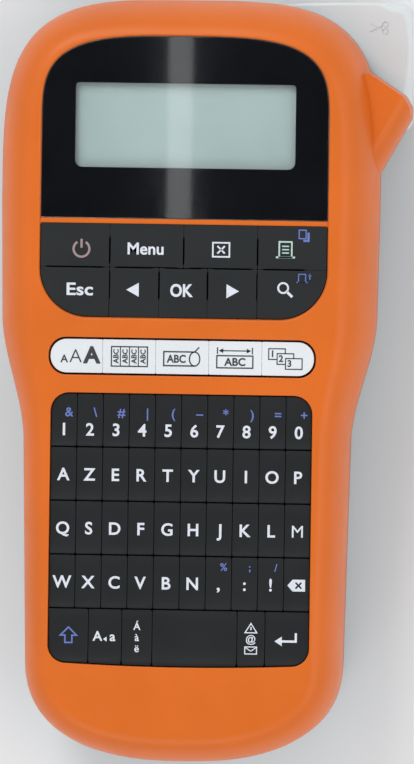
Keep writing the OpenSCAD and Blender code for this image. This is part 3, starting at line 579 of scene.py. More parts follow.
def make_front_shell():
    """Orange front casing with its openings for the display, pad, strip and keys."""
    roll = front_roll(OUTLINE[:, 1])
    shell = shape_object("front_casing", rolled_stack(OUTLINE, roll, SPLIT_Z, FACE_Z, 0.3, 18,
                                                        rise=EDGE_RISE))
    cut(shell, [fin_shape()], "UNION")
    inner = rolled_stack(offset(OUTLINE, -WALL), roll - WALL, SPLIT_Z - 1, FACE_Z - 3.2, steps=8,
                         rise=EDGE_RISE)
    window = rounded_box(-31, 31, TOP_Y - 46.5, TOP_Y - 21.6, [1] * 4)
    strip = rounded_box(STRIP_LOW[0] - 0.5, STRIP_HIGH[0] + 0.5, STRIP_LOW[1] - 0.5,
                        STRIP_HIGH[1] + 0.5, [4.7] * 4, arc=14)
    pad = rounded_box(-LENS_HALF - 0.1, LENS_HALF + 0.1, PAD_FOOT - 0.1, PAD_TOP + 0.1,
                      [13.1, 13.1, 0.6, 0.6], arc=24)
    cut(shell, [inner,
                flared(display_outline(0.15), RECESS_FLOOR, FACE_Z, 0.75),
                prism(lens_outline(0.12), LENS_LOW[2], FACE_Z),
                prism(window, FACE_Z - 6, FACE_Z),
                prism(pad, FACE_Z - 6, FACE_Z),
                flared(strip, FACE_Z - 6, FACE_Z, 0.4),
                flared(keypad_outline(0.1), FACE_Z - 6, FACE_Z, 0.35)])
    smoothed(shell)
    return finished(shell, ORANGE, "casing", ["front_shell"])


make_front_shell()

# ------------------------------------------------------------------ back of the casing
COVER_INSET, COVER_T = 9.5, 2.2
OPENING_INSET = 11.2
RIPPLES = 4
LEVER_LOW, LEVER_HIGH = box_mm("cutter_lever")
PIN = (box_mm("lever_pin")[0] + box_mm("lever_pin")[1]) / 2
JACK = (box_mm("dc_jack")[0] + box_mm("dc_jack")[1]) / 2
SCREWS = np.array([[-37, TOP_Y - 14.5], [6, TOP_Y - 6.9], [-43.4, TOP_Y - 91.5],
                   [43.4, TOP_Y - 91.5], [-23, HEEL_Y + 10.9], [23, HEEL_Y + 10.9]])
SCREW_SEAT = 6.0


def lever_window():
    """The corner of the side wall that the cutter lever swings in."""
    x0 = LEVER_LOW[0] - 7.7
    corners = np.array([[x0, TOP_Y - 10.5], [HEAD_HALF - 17.4, TOP_Y - 10.5],
                        [HEAD_HALF - 13.4, TOP_Y - 14], [HEAD_HALF - 9.4, TOP_Y - 28],
                        [HEAD_HALF - 5.4, PIN[1] - 5.3],
                        [HEAD_HALF + 19, PIN[1] - 5.3], [HEAD_HALF + 19, TOP_Y + 7], [x0, TOP_Y + 7]])
    return prism(corners, LEVER_LOW[2] - 0.5, LEVER_HIGH[2] + 0.5)


def make_rear_shell():
    """Charcoal rear casing with its cover opening, lever window, socket hole and grooves."""
    radii = np.full(len(OUTLINE), BACK_ROLL)
    shell = shape_object("rear_casing", rolled_stack(OUTLINE, radii, SPLIT_Z, 0, 0.3, taper=BACK_TAPER))
    low = fin_outline() - [BACK_TAPER, 0]
    fin = [np.c_[offset(low, -0.5), np.full(len(low), 5)], np.c_[low, np.full(len(low), 5.5)],
           np.c_[fin_outline(), np.full(len(low), SPLIT_Z - 0.25)],
           np.c_[offset(fin_outline(), -0.25), np.full(len(low), SPLIT_Z)]]
    cut(shell, [(np.concatenate(fin), stack_faces(4, len(low)))], "UNION")
    cuts = [rolled_stack(offset(OUTLINE, -WALL), radii - WALL, SPLIT_Z + 1, 3.8, steps=8,
                         taper=BACK_TAPER),
            prism(offset(OUTLINE, -COVER_INSET + 0.25), -1, COVER_T + 0.2),
            prism(offset(OUTLINE, -OPENING_INSET), -1, 5),
            lever_window(),
            rod([0, JACK[1], JACK[2]], -HEAD_HALF - 4, -HEAD_HALF + 8, 4.2, axis=0),
            prism(rounded_box(-4.5, 4.5, HEEL_Y - 1, HEEL_Y + 1.4, [0.5] * 4), SPLIT_Z - 11, SPLIT_Z + 1)]
    cuts += [rod([x, y, 0], -1, SCREW_SEAT, 2.9, 40) for x, y in SCREWS]
    cuts += [ripple(side, k) for side in (-1, 1) for k in range(RIPPLES)]
    cut(shell, cuts)
    smoothed(shell)
    return finished(shell, CHARCOAL, "casing", ["rear_shell"])


def ripple(side, k):
    """One finger groove in the side of the handle, with rounded ends."""
    y = TOP_Y - 113.5 - 7 * k
    radius, depth = 6.0, 0.9
    edge = np.interp(y, OUTLINE[:len(OUTLINE) // 2, 1], OUTLINE[:len(OUTLINE) // 2, 0])
    a = np.linspace(-np.pi / 2, np.pi / 2, 17)
    z = mix(8.5, SPLIT_Z - 2.5, (np.sin(a) + 1) / 2)
    r = radius - 1.2 * (1 - np.cos(a))
    turn = np.linspace(0, 2 * np.pi, 56, endpoint=False)
    skin = edge - BACK_TAPER * (SPLIT_Z - z) / SPLIT_Z
    rings = [np.c_[side * (x + radius - depth) + q * np.cos(turn), y + q * np.sin(turn),
                   np.full(len(turn), h)] for q, h, x in zip(r, z, skin)]
    return np.concatenate(rings), stack_faces(len(rings), len(turn))


make_rear_shell()


def make_back_cover():
    """Lift-off cover: rounded rim, viewing window, thumb ridges and latch tab."""
    low, high = box_mm("cover_window")
    cover = shape_object("back_lid", prism(offset(OUTLINE, -COVER_INSET), 0, COVER_T))
    view = rounded_box(low[0], high[0], low[1], high[1], [3] * 4, arc=12)
    cut(cover, [prism(view, -1, COVER_T + 1)])
    ridges = [prism(rounded_box(-9, 9, y - 0.6, y + 0.6, [0.55] * 4), -0.1, 0.45)
              for y in TOP_Y - 17 - 2.6 * np.arange(5)]
    cut(cover, ridges)
    cut(cover, [prism(rounded_box(-6, 6, TOP_Y - 14, TOP_Y - 12.2, [0.4] * 4), COVER_T - 0.1, COVER_T + 4)],
        "UNION")
    bevelled(cover, 0.3, 3, 50)
    smoothed(cover)
    finished(cover, CHARCOAL, "cover", ["back_cover"])
    pane = shape_object("viewing_pane", prism(view, low[2], high[2]))
    bevelled(pane, 0.2, 2, 50)
    smoothed(pane)
    finished(pane, PANE, "cover", ["cover_window"])


make_back_cover()


def make_screws():
    """Pan-head screws with a cross recess, and plain shanks."""
    shapes = []
    for x, y in SCREWS:
        head = [(0.2, 4.0), (1.6, 4.05), (2.3, 4.4), (2.6, 5.0), (2.6, SCREW_SEAT), (1.2, SCREW_SEAT),
                (1.2, SPLIT_Z + 12)]
        turn = np.linspace(0, 2 * np.pi, 40, endpoint=False)
        rings = [np.c_[x + r * np.cos(turn), y + r * np.sin(turn), np.full(40, z)] for r, z in head]
        shapes.append((np.concatenate(rings), stack_faces(len(rings), 40)))
    screws = shape_object("casing_screws", joined(shapes))
    slots = []
    for x, y in SCREWS:
        for w, h in ((0.35, 1.5), (1.5, 0.35)):
            slots.append(prism(rounded_box(x - w, x + w, y - h, y + h, [0.1] * 4), 3.5, 5.2))
    cut(screws, slots)
    smoothed(screws)
    finished(screws, STEEL, "casing", ["case_screws"])


make_screws()

# ------------------------------------------------------------------ display
def make_display():
    """Black lens border, clear pane over it and the liquid crystal panel seen through it."""
    mid = LENS_LOW[2] + 0.5
    border = shape_object("lens_border", prism(lens_outline(-0.02), LENS_LOW[2], mid))
    window = rounded_box(-29.95, 29.95, TOP_Y - 45.5, TOP_Y - 22.6, [2, 2, 1, 1], arc=10)
    cut(border, [prism(window, 50, 60)])
    smoothed(border)
    finished(border, LENS_BLACK, "casing", ["display_lens"])
    pane = shape_object("lens_pane", rolled_stack(lens_outline(), np.full(len(lens_outline()), 0.25),
                                                  mid + 0.01, LENS_HIGH[2], steps=4))
    smoothed(pane)
    finished(pane, PANE, "casing")


make_display()

PANEL_LOW, PANEL_HIGH = box_mm("lcd_panel")


def make_panel():
    """Liquid crystal panel: a thin slab with slightly rounded corners, all in one display material."""
    panel = shape_object("lcd_module", prism(rounded_box(PANEL_LOW[0], PANEL_HIGH[0], PANEL_LOW[1],
                                                         PANEL_HIGH[1], [0.4] * 4),
                                             PANEL_LOW[2], PANEL_HIGH[2]))
    smoothed(panel)
    finished(panel, LCD, "casing", ["lcd_panel"])


make_panel()


# ------------------------------------------------------------------ keys
DISH_POWER = 3.2


def dished(cell, depth):
    """Height of a key's top below its rim: a trough across the key, steepest near its two ends."""
    x0, x1, y0, y1 = cell

    def drop(points):
        """Formula: depth (1 - u^power)(1 - v^2 / 4), u along the key and v across it, from its centre."""
        u = np.clip(np.abs(2 * (points[:, 1] - y0) / (y1 - y0) - 1), 0, 1)
        v = np.clip(np.abs(2 * (points[:, 0] - x0) / (x1 - x0) - 1), 0, 1)
        return depth * (1 - u ** DISH_POWER) * (1 - 0.25 * v ** 2)
    return drop


def flat(points):
    """Drop of a key whose top is level."""
    return np.zeros(len(points))


def key_shape(outline, gap, roll, drop, low, high, rings=12):
    """Closed key cap: straight wall, rolled edge and a top that falls by drop(points)."""
    centre = (outline.min(0) + outline.max(0)) / 2
    rim = offset(outline, -gap)
    stack = [np.c_[rim, np.full(len(rim), low)]]
    for a in np.linspace(0, np.pi / 2, 6):
        ring = offset(rim, -roll * (1 - math.cos(a)))
        stack.append(np.c_[ring, high - roll * (1 - math.sin(a)) - drop(ring)])
    last = stack[-1][:, :2]
    for s in np.linspace(1, 0.04, rings)[1:]:
        ring = centre + (last - centre) * s
        stack.append(np.c_[ring, high - drop(ring)])
    return np.concatenate(stack), stack_faces(len(stack), len(rim))


SLIT_WIDE, SLIT_TIGHT = 0.2, 0.03


def slit(outline, cell, sides):
    """Half gap round a function key: wide along the middle of each side that has a slit, tight
    where the membrane runs on. sides gives (start, end) along each of left, right, foot, top."""
    x0, x1, y0, y1 = cell
    gap = np.full(len(outline), SLIT_TIGHT)
    places = [(outline[:, 0] - x0, outline[:, 1]), (x1 - outline[:, 0], outline[:, 1]),
              (outline[:, 1] - y0, outline[:, 0]), (y1 - outline[:, 1], outline[:, 0])]
    for (off, along), ends in zip(places, sides):
        if ends:
            inside = ease((along - ends[0]) / 0.9 + 0.5) * ease((ends[1] - along) / 0.9 + 0.5)
            gap = np.maximum(gap, np.where(off < 0.01, mix(SLIT_TIGHT, SLIT_WIDE, inside), 0))
    return gap


def key_cell(node):
    """Cell of a key: its CAD box grown by half the gap between keys."""
    low, high = box_mm(node)
    grow = 0.25
    return [low[0] - grow, high[0] + grow, low[1] - grow, high[1] + grow]


CAP_Z = KEY_Z - 4.5
KEY_TOPS = {}


def make_key(name, shapes, material, drops):
    """Makes a key's piece and notes how its top falls, for its legend."""
    piece = shape_object(name + "_cap", joined(shapes))
    smoothed(piece, 40)
    finished(piece, material, name, [name])
    KEY_TOPS[name] = drops


def make_function_keys():
    """Two rows of keys moulded as one membrane, parted only by short slits."""
    rows = [["key_power", "key_menu", "key_clear", "key_print"],
            ["key_escape", "key_left", "key_ok", "key_right", "key_search"]]
    for r, names in enumerate(rows):
        for k, name in enumerate(names):
            cell = key_cell(name)
            first, last = k == 0, k == len(names) - 1
            if first:
                cell[0] = -LENS_HALF
            if last:
                cell[1] = LENS_HALF
            if r == 0:
                cell[3] = PAD_TOP
            else:
                cell[2] = PAD_FOOT
            radii = [0.35] * 4
            if r and first:
                radii[0] = 13
            if r and last:
                radii[1] = 13
            outline = rounded_box(*cell, radii, arc=24 if max(radii) > 1 else 3, side=36)
            span_y = (cell[2] + 1.0, cell[3] - 3.5) if r == 0 else (cell[2] + 5.0, cell[3] - 1.0)
            inner_foot = (cell[0] + 1.6, cell[1] - (6 if last else 1.6))
            sides = [None if first else span_y, None if last else span_y,
                     inner_foot if r == 0 else None, inner_foot if r == 1 else None]
            gap = slit(outline, cell, sides)
            outer = ((first & (outline[:, 0] < cell[0] + 0.01)) | (last & (outline[:, 0] > cell[1] - 0.01))
                     | ((r == 1) & (outline[:, 1] < cell[2] + 13 * (first or last))))
            gap = np.where(outer, 0.1, gap)
            roll = 0.06 + 0.8 * np.clip(gap - SLIT_TIGHT, 0, 0.3)
            shape = membrane_cap(outline, gap, roll)
            make_key(name, [shape], KEY_PAD, flat)


def membrane_cap(outline, gap, roll):
    """Key cap whose gap and edge roll change along its outline."""
    centre = (outline.min(0) + outline.max(0)) / 2
    stack = [np.c_[offset(outline, -gap), np.full(len(outline), CAP_Z)]]
    for a in np.linspace(0, np.pi / 2, 6):
        ring = offset(outline, -gap - roll * (1 - math.cos(a)))
        stack.append(np.c_[ring, KEY_Z - roll * (1 - math.sin(a))])
    last = stack[-1][:, :2]
    for s in (0.9, 0.6, 0.3, 0.05):
        stack.append(np.c_[centre + (last - centre) * s, np.full(len(last), KEY_Z)])
    return np.concatenate(stack), stack_faces(len(stack), len(outline))


make_function_keys()


def make_hot_keys():
    """White strip of five keys, all but touching."""
    names = ["key_text_size", "key_table", "key_cable_flag", "key_faceplate", "key_series"]
    for k, name in enumerate(names):
        cell = key_cell(name)
        if k == 0:
            cell[0] = STRIP_LOW[0]
        if k == 4:
            cell[1] = STRIP_HIGH[0]
        cell[2], cell[3] = STRIP_LOW[1], STRIP_HIGH[1]
        left, right = 4.4 if k == 0 else 0.3, 4.4 if k == 4 else 0.3
        radii = [left, right, right, left]
        outline = rounded_box(*cell, radii, arc=14, side=24)
        make_key(name, [key_shape(outline, 0.03, 0.12, flat, CAP_Z, KEY_Z, 5)], KEY_WHITE, flat)


make_hot_keys()

ROWS = ["digit_keys", "upper_letter_keys", "middle_letter_keys", "lower_letter_keys"]
BOTTOM = ["key_shift", "key_caps", "key_accent", "key_space", "key_symbol", "key_enter"]
ROW_PITCH = 14.6
KEYPAD_TOP = KEYPAD_HIGH[1] + 0.25
PITCH_X = 2 * KEYPAD_HALF / 10
DISH = 0.62


def letter_cell(row, column):
    """Cell of a letter key, as its x and y limits."""
    return [-KEYPAD_HALF + PITCH_X * column, -KEYPAD_HALF + PITCH_X * (column + 1),
            KEYPAD_TOP - ROW_PITCH * (row + 1), KEYPAD_TOP - ROW_PITCH * row]


def letter_key(cell, radii, sag=False):
    """Troughed key cap in a cell, with the drop of its top."""
    drop = dished(cell, DISH)
    outline = rounded_box(*cell, radii, arc=10 if max(radii) > 1 else 4, side=22)
    if sag:
        outline = sagged(outline)
    gap = 0.06 + 0.12 * np.clip((np.abs(outline[:, 1] - (cell[2] + cell[3]) / 2) * 2
                                 / (cell[3] - cell[2]) - 0.97) * 33, 0, 1)
    return key_shape(outline, gap, 0.22, drop, CAP_Z, KEY_Z, 16), drop


def make_letter_keys():
    """Four rows of ten troughed keys and the wider keys below them."""
    for r, name in enumerate(ROWS):
        columns = range(9 if r == 3 else 10)
        made = []
        for c in columns:
            radii = [0.6] * 4
            if r == 0 and c == 0:
                radii[3] = 5
            if r == 0 and c == 9:
                radii[2] = 5
            made.append(letter_key(letter_cell(r, c), radii))
        make_key(name, [m[0] for m in made], KEY_DARK, made[0][1])
    shape, drop = letter_key(letter_cell(3, 9), [0.6] * 4)
    make_key("key_backspace", [shape], KEY_DARK, drop)
    edges = [box_mm(n)[0][0] - 0.25 for n in BOTTOM] + [KEYPAD_HALF]
    edges[0] = -KEYPAD_HALF
    for k, name in enumerate(BOTTOM):
        cell = [edges[k], edges[k + 1], KEYPAD_FOOT, KEYPAD_TOP - 4 * ROW_PITCH]
        radii = [4.5 if k == 0 else 0.6, 4.5 if k == 5 else 0.6, 0.6, 0.6]
        shape, drop = letter_key(cell, radii, True)
        make_key(name, [shape], KEY_DARK, drop)


make_letter_keys()


# ------------------------------------------------------------------ legends
def glyphs(text, at, height, width=None, bold=0.0, turn=0):
    """Printed characters as closed thin solids: capitals of the given height centred on a point.
    width stretches them to fit, turn is in degrees anticlockwise."""
    font = bpy.data.curves.new("glyphs", "FONT")
    font.body = text
    font.offset = bold
    font.extrude = 0.02
    font.resolution_u = 4
    carrier = bpy.data.objects.new("glyphs", font)
    bpy.context.scene.collection.objects.link(carrier)
    depsgraph = bpy.context.evaluated_depsgraph_get()
    mesh = bpy.data.meshes.new_from_object(carrier.evaluated_get(depsgraph))
    points = np.empty(len(mesh.vertices) * 3)
    mesh.vertices.foreach_get("co", points)
    points = points.reshape(-1, 3)
    faces = [list(f.vertices) for f in mesh.polygons]
    bpy.data.objects.remove(carrier)
    bpy.data.curves.remove(font)
    bpy.data.meshes.remove(mesh)
    scale = height / CAPITAL
    low, high = points[:, 0].min(), points[:, 0].max()
    across = scale if width is None else width / (high - low)
    flat_points = np.c_[(points[:, 0] - (low + high) / 2) * across, points[:, 1] * scale - height / 2]
    c, s = math.cos(math.radians(turn)), math.sin(math.radians(turn))
    flat_points = flat_points @ np.array([[c, s], [-s, c]]) + at
    return np.c_[flat_points, np.sign(points[:, 2]) * 0.03 + 0.01], faces


CAPITAL = 0.7


def measure_capital():
    """Height of a capital when it is not scaled."""
    shape, _ = glyphs("H", (0, 0), CAPITAL)
    return shape[:, 1].max() - shape[:, 1].min()


CAPITAL = measure_capital()


def ribbon(path, width, closed=False):
    """Printed line along a path as a closed thin solid with mitred corners."""
    path = np.asarray(path, float)
    ahead, behind = np.roll(path, -1, 0) - path, path - np.roll(path, 1, 0)
    if not closed:
        ahead[-1], behind[0] = behind[-1], ahead[0]
    ahead /= np.linalg.norm(ahead, axis=1, keepdims=True)
    behind /= np.linalg.norm(behind, axis=1, keepdims=True)
    normal = np.c_[-(ahead + behind)[:, 1], (ahead + behind)[:, 0]]
    normal /= np.linalg.norm(normal, axis=1, keepdims=True)
    reach = np.clip(1 / np.maximum(0.35, np.sum(normal * np.c_[-ahead[:, 1], ahead[:, 0]], 1)), 1, 2.5)
    side = normal * (reach * width / 2)[:, None]
    rows = np.stack([np.c_[path + s * side, np.full(len(path), z)]
                     for s, z in ((1, -0.02), (1, 0.04), (-1, 0.04), (-1, -0.02))], 1)
    if closed:
        rows = np.concatenate([rows, rows[:1]])
    n = len(rows)
    faces = grid_faces(n, 4)
    if closed:
        points = rows[:-1].reshape(-1, 3)
        faces = [[v % len(points) for v in f] for f in faces]
    else:
        points = rows.reshape(-1, 3)
        faces += [[3, 2, 1, 0], list(range(4 * n - 4, 4 * n))]
    return points, faces


def patch(outline):
    """Printed area as a closed thin solid; the outline runs anticlockwise."""
    return prism(np.asarray(outline, float), -0.02, 0.04)


def box_path(x, y, w, h):
    """Closed path round a box given by its centre and size."""
    return [(x - w / 2, y - h / 2), (x + w / 2, y - h / 2), (x + w / 2, y + h / 2), (x - w / 2, y + h / 2)]


def legend(name, body, material, shapes):
    """Lays printed shapes on the top of the body's keys."""
    points, faces = joined(shapes)
    drop = KEY_TOPS[body]
    if body in ROWS:
        column = np.clip(((points[:, 0] + KEYPAD_HALF) / PITCH_X).astype(int), 0, 9)
        local = points.copy()
        local[:, 0] -= PITCH_X * column
        points[:, 2] += KEY_Z - drop(local[:, :2])
    else:
        points[:, 2] += KEY_Z - drop(points[:, :2])
    piece = shape_object(name, (points, faces))
    finished(piece, material, body)


def function_legends():
    """Signs and words on the function keys."""
    top, foot = (PAD_TOP + PAD_FOOT) / 2 + 6.0, (PAD_TOP + PAD_FOOT) / 2 - 5.2
    x = -27.8
    legend("power_mark", "key_power", INK_ROSE,
           [ribbon(arc((x, top - 0.3), 2.15, 122, 418, 44), 0.6), ribbon([(x, top), (x, top + 2.4)], 0.6)])
    legend("menu_word", "key_menu", INK_WHITE, [glyphs("Menu", (-10.35, top), 3.05, 9.8, 0.02)])
    x = 10.2
    legend("clear_mark", "key_clear", INK_WHITE,
           [ribbon(box_path(x, top, 4.5, 3.8), 0.42, True),
            ribbon([(x - 1.0, top - 1.0), (x + 1.0, top + 1.0)], 0.46),
            ribbon([(x - 1.0, top + 1.0), (x + 1.0, top - 1.0)], 0.46)])
    x = 27.7
    legend("print_mark", "key_print", INK_GREEN,
           [ribbon([(x - 2.6, top - 1.8), (x + 2.6, top - 1.8)], 0.5),
            ribbon(box_path(x, top + 0.3, 3.4, 4.2), 0.42, True)]
           + [ribbon([(x - 0.95, top + h), (x + 0.95, top + h)], 0.34) for h in (-0.6, 0.3, 1.2)])
    x = 32.7
    legend("copies_mark", "key_print", INK_BLUE,
           [ribbon(box_path(x - 0.4, top + 4.5, 1.9, 2.3), 0.32, True),
            ribbon([(x - 0.2, top + 2.75), (x + 1.2, top + 2.75), (x + 1.2, top + 5.0)], 0.6)])
    legend("escape_word", "key_escape", INK_WHITE, [glyphs("Esc", (-28.1, foot), 3.2, 7.2, 0.02)])
    x = -13.65
    legend("left_mark", "key_left", INK_WHITE,
           [patch([(x + 1.6, foot - 1.9), (x + 1.6, foot + 1.9), (x - 1.8, foot)])])
    legend("ok_word", "key_ok", INK_WHITE, [glyphs("OK", (-0.4, foot), 3.2, 6.2, 0.03)])
    x = 13.4
    legend("right_mark", "key_right", INK_WHITE,
           [patch([(x - 1.6, foot + 1.9), (x - 1.6, foot - 1.9), (x + 1.8, foot)])])
    x, y = 27.2, foot + 1.1
    legend("search_mark", "key_search", INK_WHITE,
           [ribbon(arc((x, y), 1.35, 0, 348, 30), 0.5, True),
            ribbon([(x + 1.05, y - 1.05), (x + 2.5, y - 2.4)], 0.7)])
    x, y = 32.8, foot + 3.6
    legend("recall_mark", "key_search", INK_BLUE,
           [ribbon(box_path(x - 0.5, y + 0.2, 1.9, 2.2), 0.28, True),
            ribbon([(x - 2.0, y - 0.9), (x + 1.0, y - 0.9)], 0.32),
            ribbon([(x + 1.6, y - 0.1), (x + 1.6, y + 1.0)], 0.32),
            patch([(x + 1.1, y + 0.7), (x + 2.1, y + 0.7), (x + 1.6, y + 1.5)])])


def strip_legends():
    """Signs on the white strip of keys."""
    y = (STRIP_LOW[1] + STRIP_HIGH[1]) / 2
    pitch = (STRIP_HIGH[0] - STRIP_LOW[0]) / 5
    middle = [STRIP_LOW[0] + pitch * (k + 0.5) for k in range(5)]
    x = middle[0]
    legend("sizes_mark", "key_text_size", INK_GREY,
           [glyphs("A", (x - 3.4, y - 0.8), 2.0, None, 0.02), glyphs("A", (x - 0.3, y), 3.6, None, -0.01),
            glyphs("A", (x + 4.1, y + 0.3), 4.2, None, 0.04)])
    x = middle[1]
    legend("table_mark", "key_table", INK_GREY,
           [ribbon(box_path(x, y, 9.8, 5.3), 0.34, True)]
           + [ribbon([(x + d, y - 2.65), (x + d, y + 2.65)], 0.28) for d in (-2.45, 0, 2.45)]
           + [glyphs("ABC", (x + d, y), 1.35, 3.9, 0.03, 90) for d in (-3.68, -1.22, 1.22, 3.68)])
    x = middle[2]
    legend("cable_flag_mark", "key_cable_flag", INK_GREY,
           [ribbon([(x + 3.4, y + 1.5), (x - 5.0, y + 1.5), (x - 5.0, y - 2.3), (x + 3.4, y - 2.3)], 0.38),
            ribbon(np.c_[x + 3.4 + 1.4 * np.cos(np.radians(np.linspace(0, 360, 30)[:-1])),
                         y - 0.4 + 1.9 * np.sin(np.radians(np.linspace(0, 360, 30)[:-1]))], 0.36, True),
            ribbon([(x + 3.4, y + 1.5), (x + 4.6, y + 2.8)], 0.36),
            glyphs("ABC", (x - 1.6, y - 0.4), 2.0, 5.2, 0.03)])
    x = middle[3]
    legend("faceplate_mark", "key_faceplate", INK_GREY,
           [ribbon(box_path(x, y - 1.0, 9.8, 3.3), 0.36, True), glyphs("ABC", (x, y - 1.0), 2.0, 5.8, 0.03),
            ribbon([(x - 4.0, y + 2.0), (x + 4.0, y + 2.0)], 0.3)]
           + [ribbon([(x + s * 4.75, y + 1.1), (x + s * 4.75, y + 2.9)], 0.32) for s in (-1, 1)]
           + [patch([(x + s * 4.4, y + 2.0), (x + s * 3.2, y + 2.0 + s * 0.65),
                     (x + s * 3.2, y + 2.0 - s * 0.65)])
              for s in (-1, 1)])
    x = middle[4] - 0.6
    made = []
    for k, word in enumerate(("1", "2", "3")):
        at = (x + 2.3 * (k - 1), y - 1.3 * (k - 1))
        made += [ribbon([(at[0] + 2.25, at[1] + 0.1), (at[0] + 2.25, at[1] + 1.45),
                         (at[0] - 2.25, at[1] + 1.45), (at[0] - 2.25, at[1] - 1.45),
                         (at[0] - 0.1, at[1] - 1.45)], 0.3),
                 glyphs(word, (at[0] - 1.2, at[1] + 0.1), 1.7, None, 0.03)]
    at = (x + 2.3, y - 1.3)
    made.append(ribbon([(at[0] + 2.25, at[1] + 0.2), (at[0] + 2.25, at[1] - 1.45),
                        (at[0] - 0.2, at[1] - 1.45)], 0.3))
    legend("series_mark", "key_series", INK_GREY, made)


def letter_legends():
    """Letters, digits and their blue alternates on the key rows."""
    words = ["1234567890", "AZERTYUIOP", "QSDFGHJKLM", "WXCVBN,:!"]
    alternates = ["&\\#|(–*)=+", "", "", "      %;/"]
    for r, (body, chars) in enumerate(zip(ROWS, words)):
        y = (letter_cell(r, 0)[2] + letter_cell(r, 0)[3]) / 2 - (2.6 if r == 0 else 0.2)
        x = [np.mean(letter_cell(r, c)[:2]) for c in range(10)]
        legend(body + "_characters", body, INK_WHITE,
               [glyphs(ch, (x[c], y), 3.2, None, 0.0 if ch == "M" else 0.02) for c, ch in enumerate(chars)])
        marks = [glyphs(ch, (x[c] + 1.4, y + 4.7), 2.4 if r == 0 else 2.0, None, 0.015)
                 for c, ch in enumerate(alternates[r]) if ch != " "]
        if marks:
            legend(body + "_alternates", body, INK_BLUE, marks)
    x, y = np.mean(letter_cell(3, 9)[:2]), np.mean(letter_cell(3, 9)[2:]) - 0.2
    legend("backspace_mark", "key_backspace", INK_WHITE,
           [patch([(x - 2.5, y), (x - 1.1, y - 1.6), (x + 2.3, y - 1.6), (x + 2.3, y + 1.6),
                   (x - 1.1, y + 1.6)])])
    cross = [ribbon([(x - 0.3, y - 0.8), (x + 1.3, y + 0.8)], 0.42),
             ribbon([(x - 0.3, y + 0.8), (x + 1.3, y - 0.8)], 0.42)]
    legend("backspace_cross", "key_backspace", KEY_DARK,
           [(p + [0, 0, 0.09], f) for p, f in cross])


def bottom_legends():
    """Signs on the row of wider keys."""
    cells = [box_mm(n) for n in BOTTOM]
    x = [(low[0] + high[0]) / 2 for low, high in cells]
    y = KEYPAD_TOP - 4 * ROW_PITCH - 7.5
    s = x[0] + 0.2
    arrow = [(s - 0.95, y - 1.9), (s + 0.95, y - 1.9), (s + 0.95, y + 0.1), (s + 2.2, y + 0.1), (s, y + 2.3),
             (s - 2.2, y + 0.1), (s - 0.95, y + 0.1)]
    legend("shift_mark", "key_shift", INK_BLUE, [ribbon(arrow, 0.42, True)])
    c = x[1]
    legend("caps_mark", "key_caps", INK_WHITE,
           [glyphs("A", (c - 2.0, y), 2.5, None, 0.02), glyphs("a", (c + 2.1, y), 2.5, None, 0.02),
            patch([(c - 0.5, y - 0.8), (c + 0.5, y - 1.45), (c + 0.5, y - 0.15)])])
    a = x[2]
    legend("accent_mark", "key_accent", INK_WHITE,
           [glyphs(ch, (a, y + h), 1.9, None, 0.015) for ch, h in (("Á", 2.8), ("à", -0.2), ("ë", -3.2))])
    m = x[4]
    legend("symbol_mark", "key_symbol", INK_WHITE,
           [ribbon([(m - 1.6, y + 1.6), (m + 1.6, y + 1.6), (m, y + 4.1)], 0.3, True),
            ribbon([(m, y + 2.3), (m, y + 3.2)], 0.34), glyphs("@", (m, y - 0.1), 1.9, None, 0.012),
            ribbon(box_path(m, y - 3.2, 3.2, 1.9), 0.28, True),
            ribbon([(m - 1.5, y - 2.4), (m, y - 3.4), (m + 1.5, y - 2.4)], 0.26)])
    e = x[5] - 0.3
    legend("enter_mark", "key_enter", INK_WHITE,
           [ribbon([(e + 2.6, y + 1.7), (e + 2.6, y - 0.6), (e - 1.4, y - 0.6)], 0.6),
            patch([(e - 3.2, y - 0.6), (e - 1.2, y - 1.9), (e - 1.2, y + 0.7)])])


function_legends()
strip_legends()
letter_legends()
bottom_legends()


# ------------------------------------------------------------------ cutter lever
def lever_outline():
    """Outline of the lever round the head's corner, from the lip on the end wall to the pin."""
    x0, tip, px, py = LEVER_LOW[0], LEVER_HIGH[0], PIN[0], PIN[1]
    eye = 4.5
    corners = np.array([
        [x0, TOP_Y - 3.1], [x0, TOP_Y - 1.0], [x0 + 5.5, TOP_Y - 0.4], [x0 + 14.5, TOP_Y - 0.1],
        [46, TOP_Y], [51, TOP_Y - 0.1], [tip - 2.3, TOP_Y - 0.6], [tip - 0.7, TOP_Y - 5], [tip, TOP_Y - 10.5],
        [tip, TOP_Y - 15.5], [tip - 0.6, TOP_Y - 21.3], [tip - 1.5, TOP_Y - 27.5], [px + eye, py],
        [px + eye, py - eye], [px - eye, py - eye], [px - eye, py], [44, TOP_Y - 23.5],
        [44, TOP_Y - 11.5], [39.5, TOP_Y - 8.5], [32, TOP_Y - 5.5]])
    return round_corners(corners[::-1], [2, 3, 3, 3, 1, 4.4, 4.4, 2, 2, 0, 0, 0, 3, 4, 0, 0, 0, 0, 0.8, 0],
                         10, 0.9)


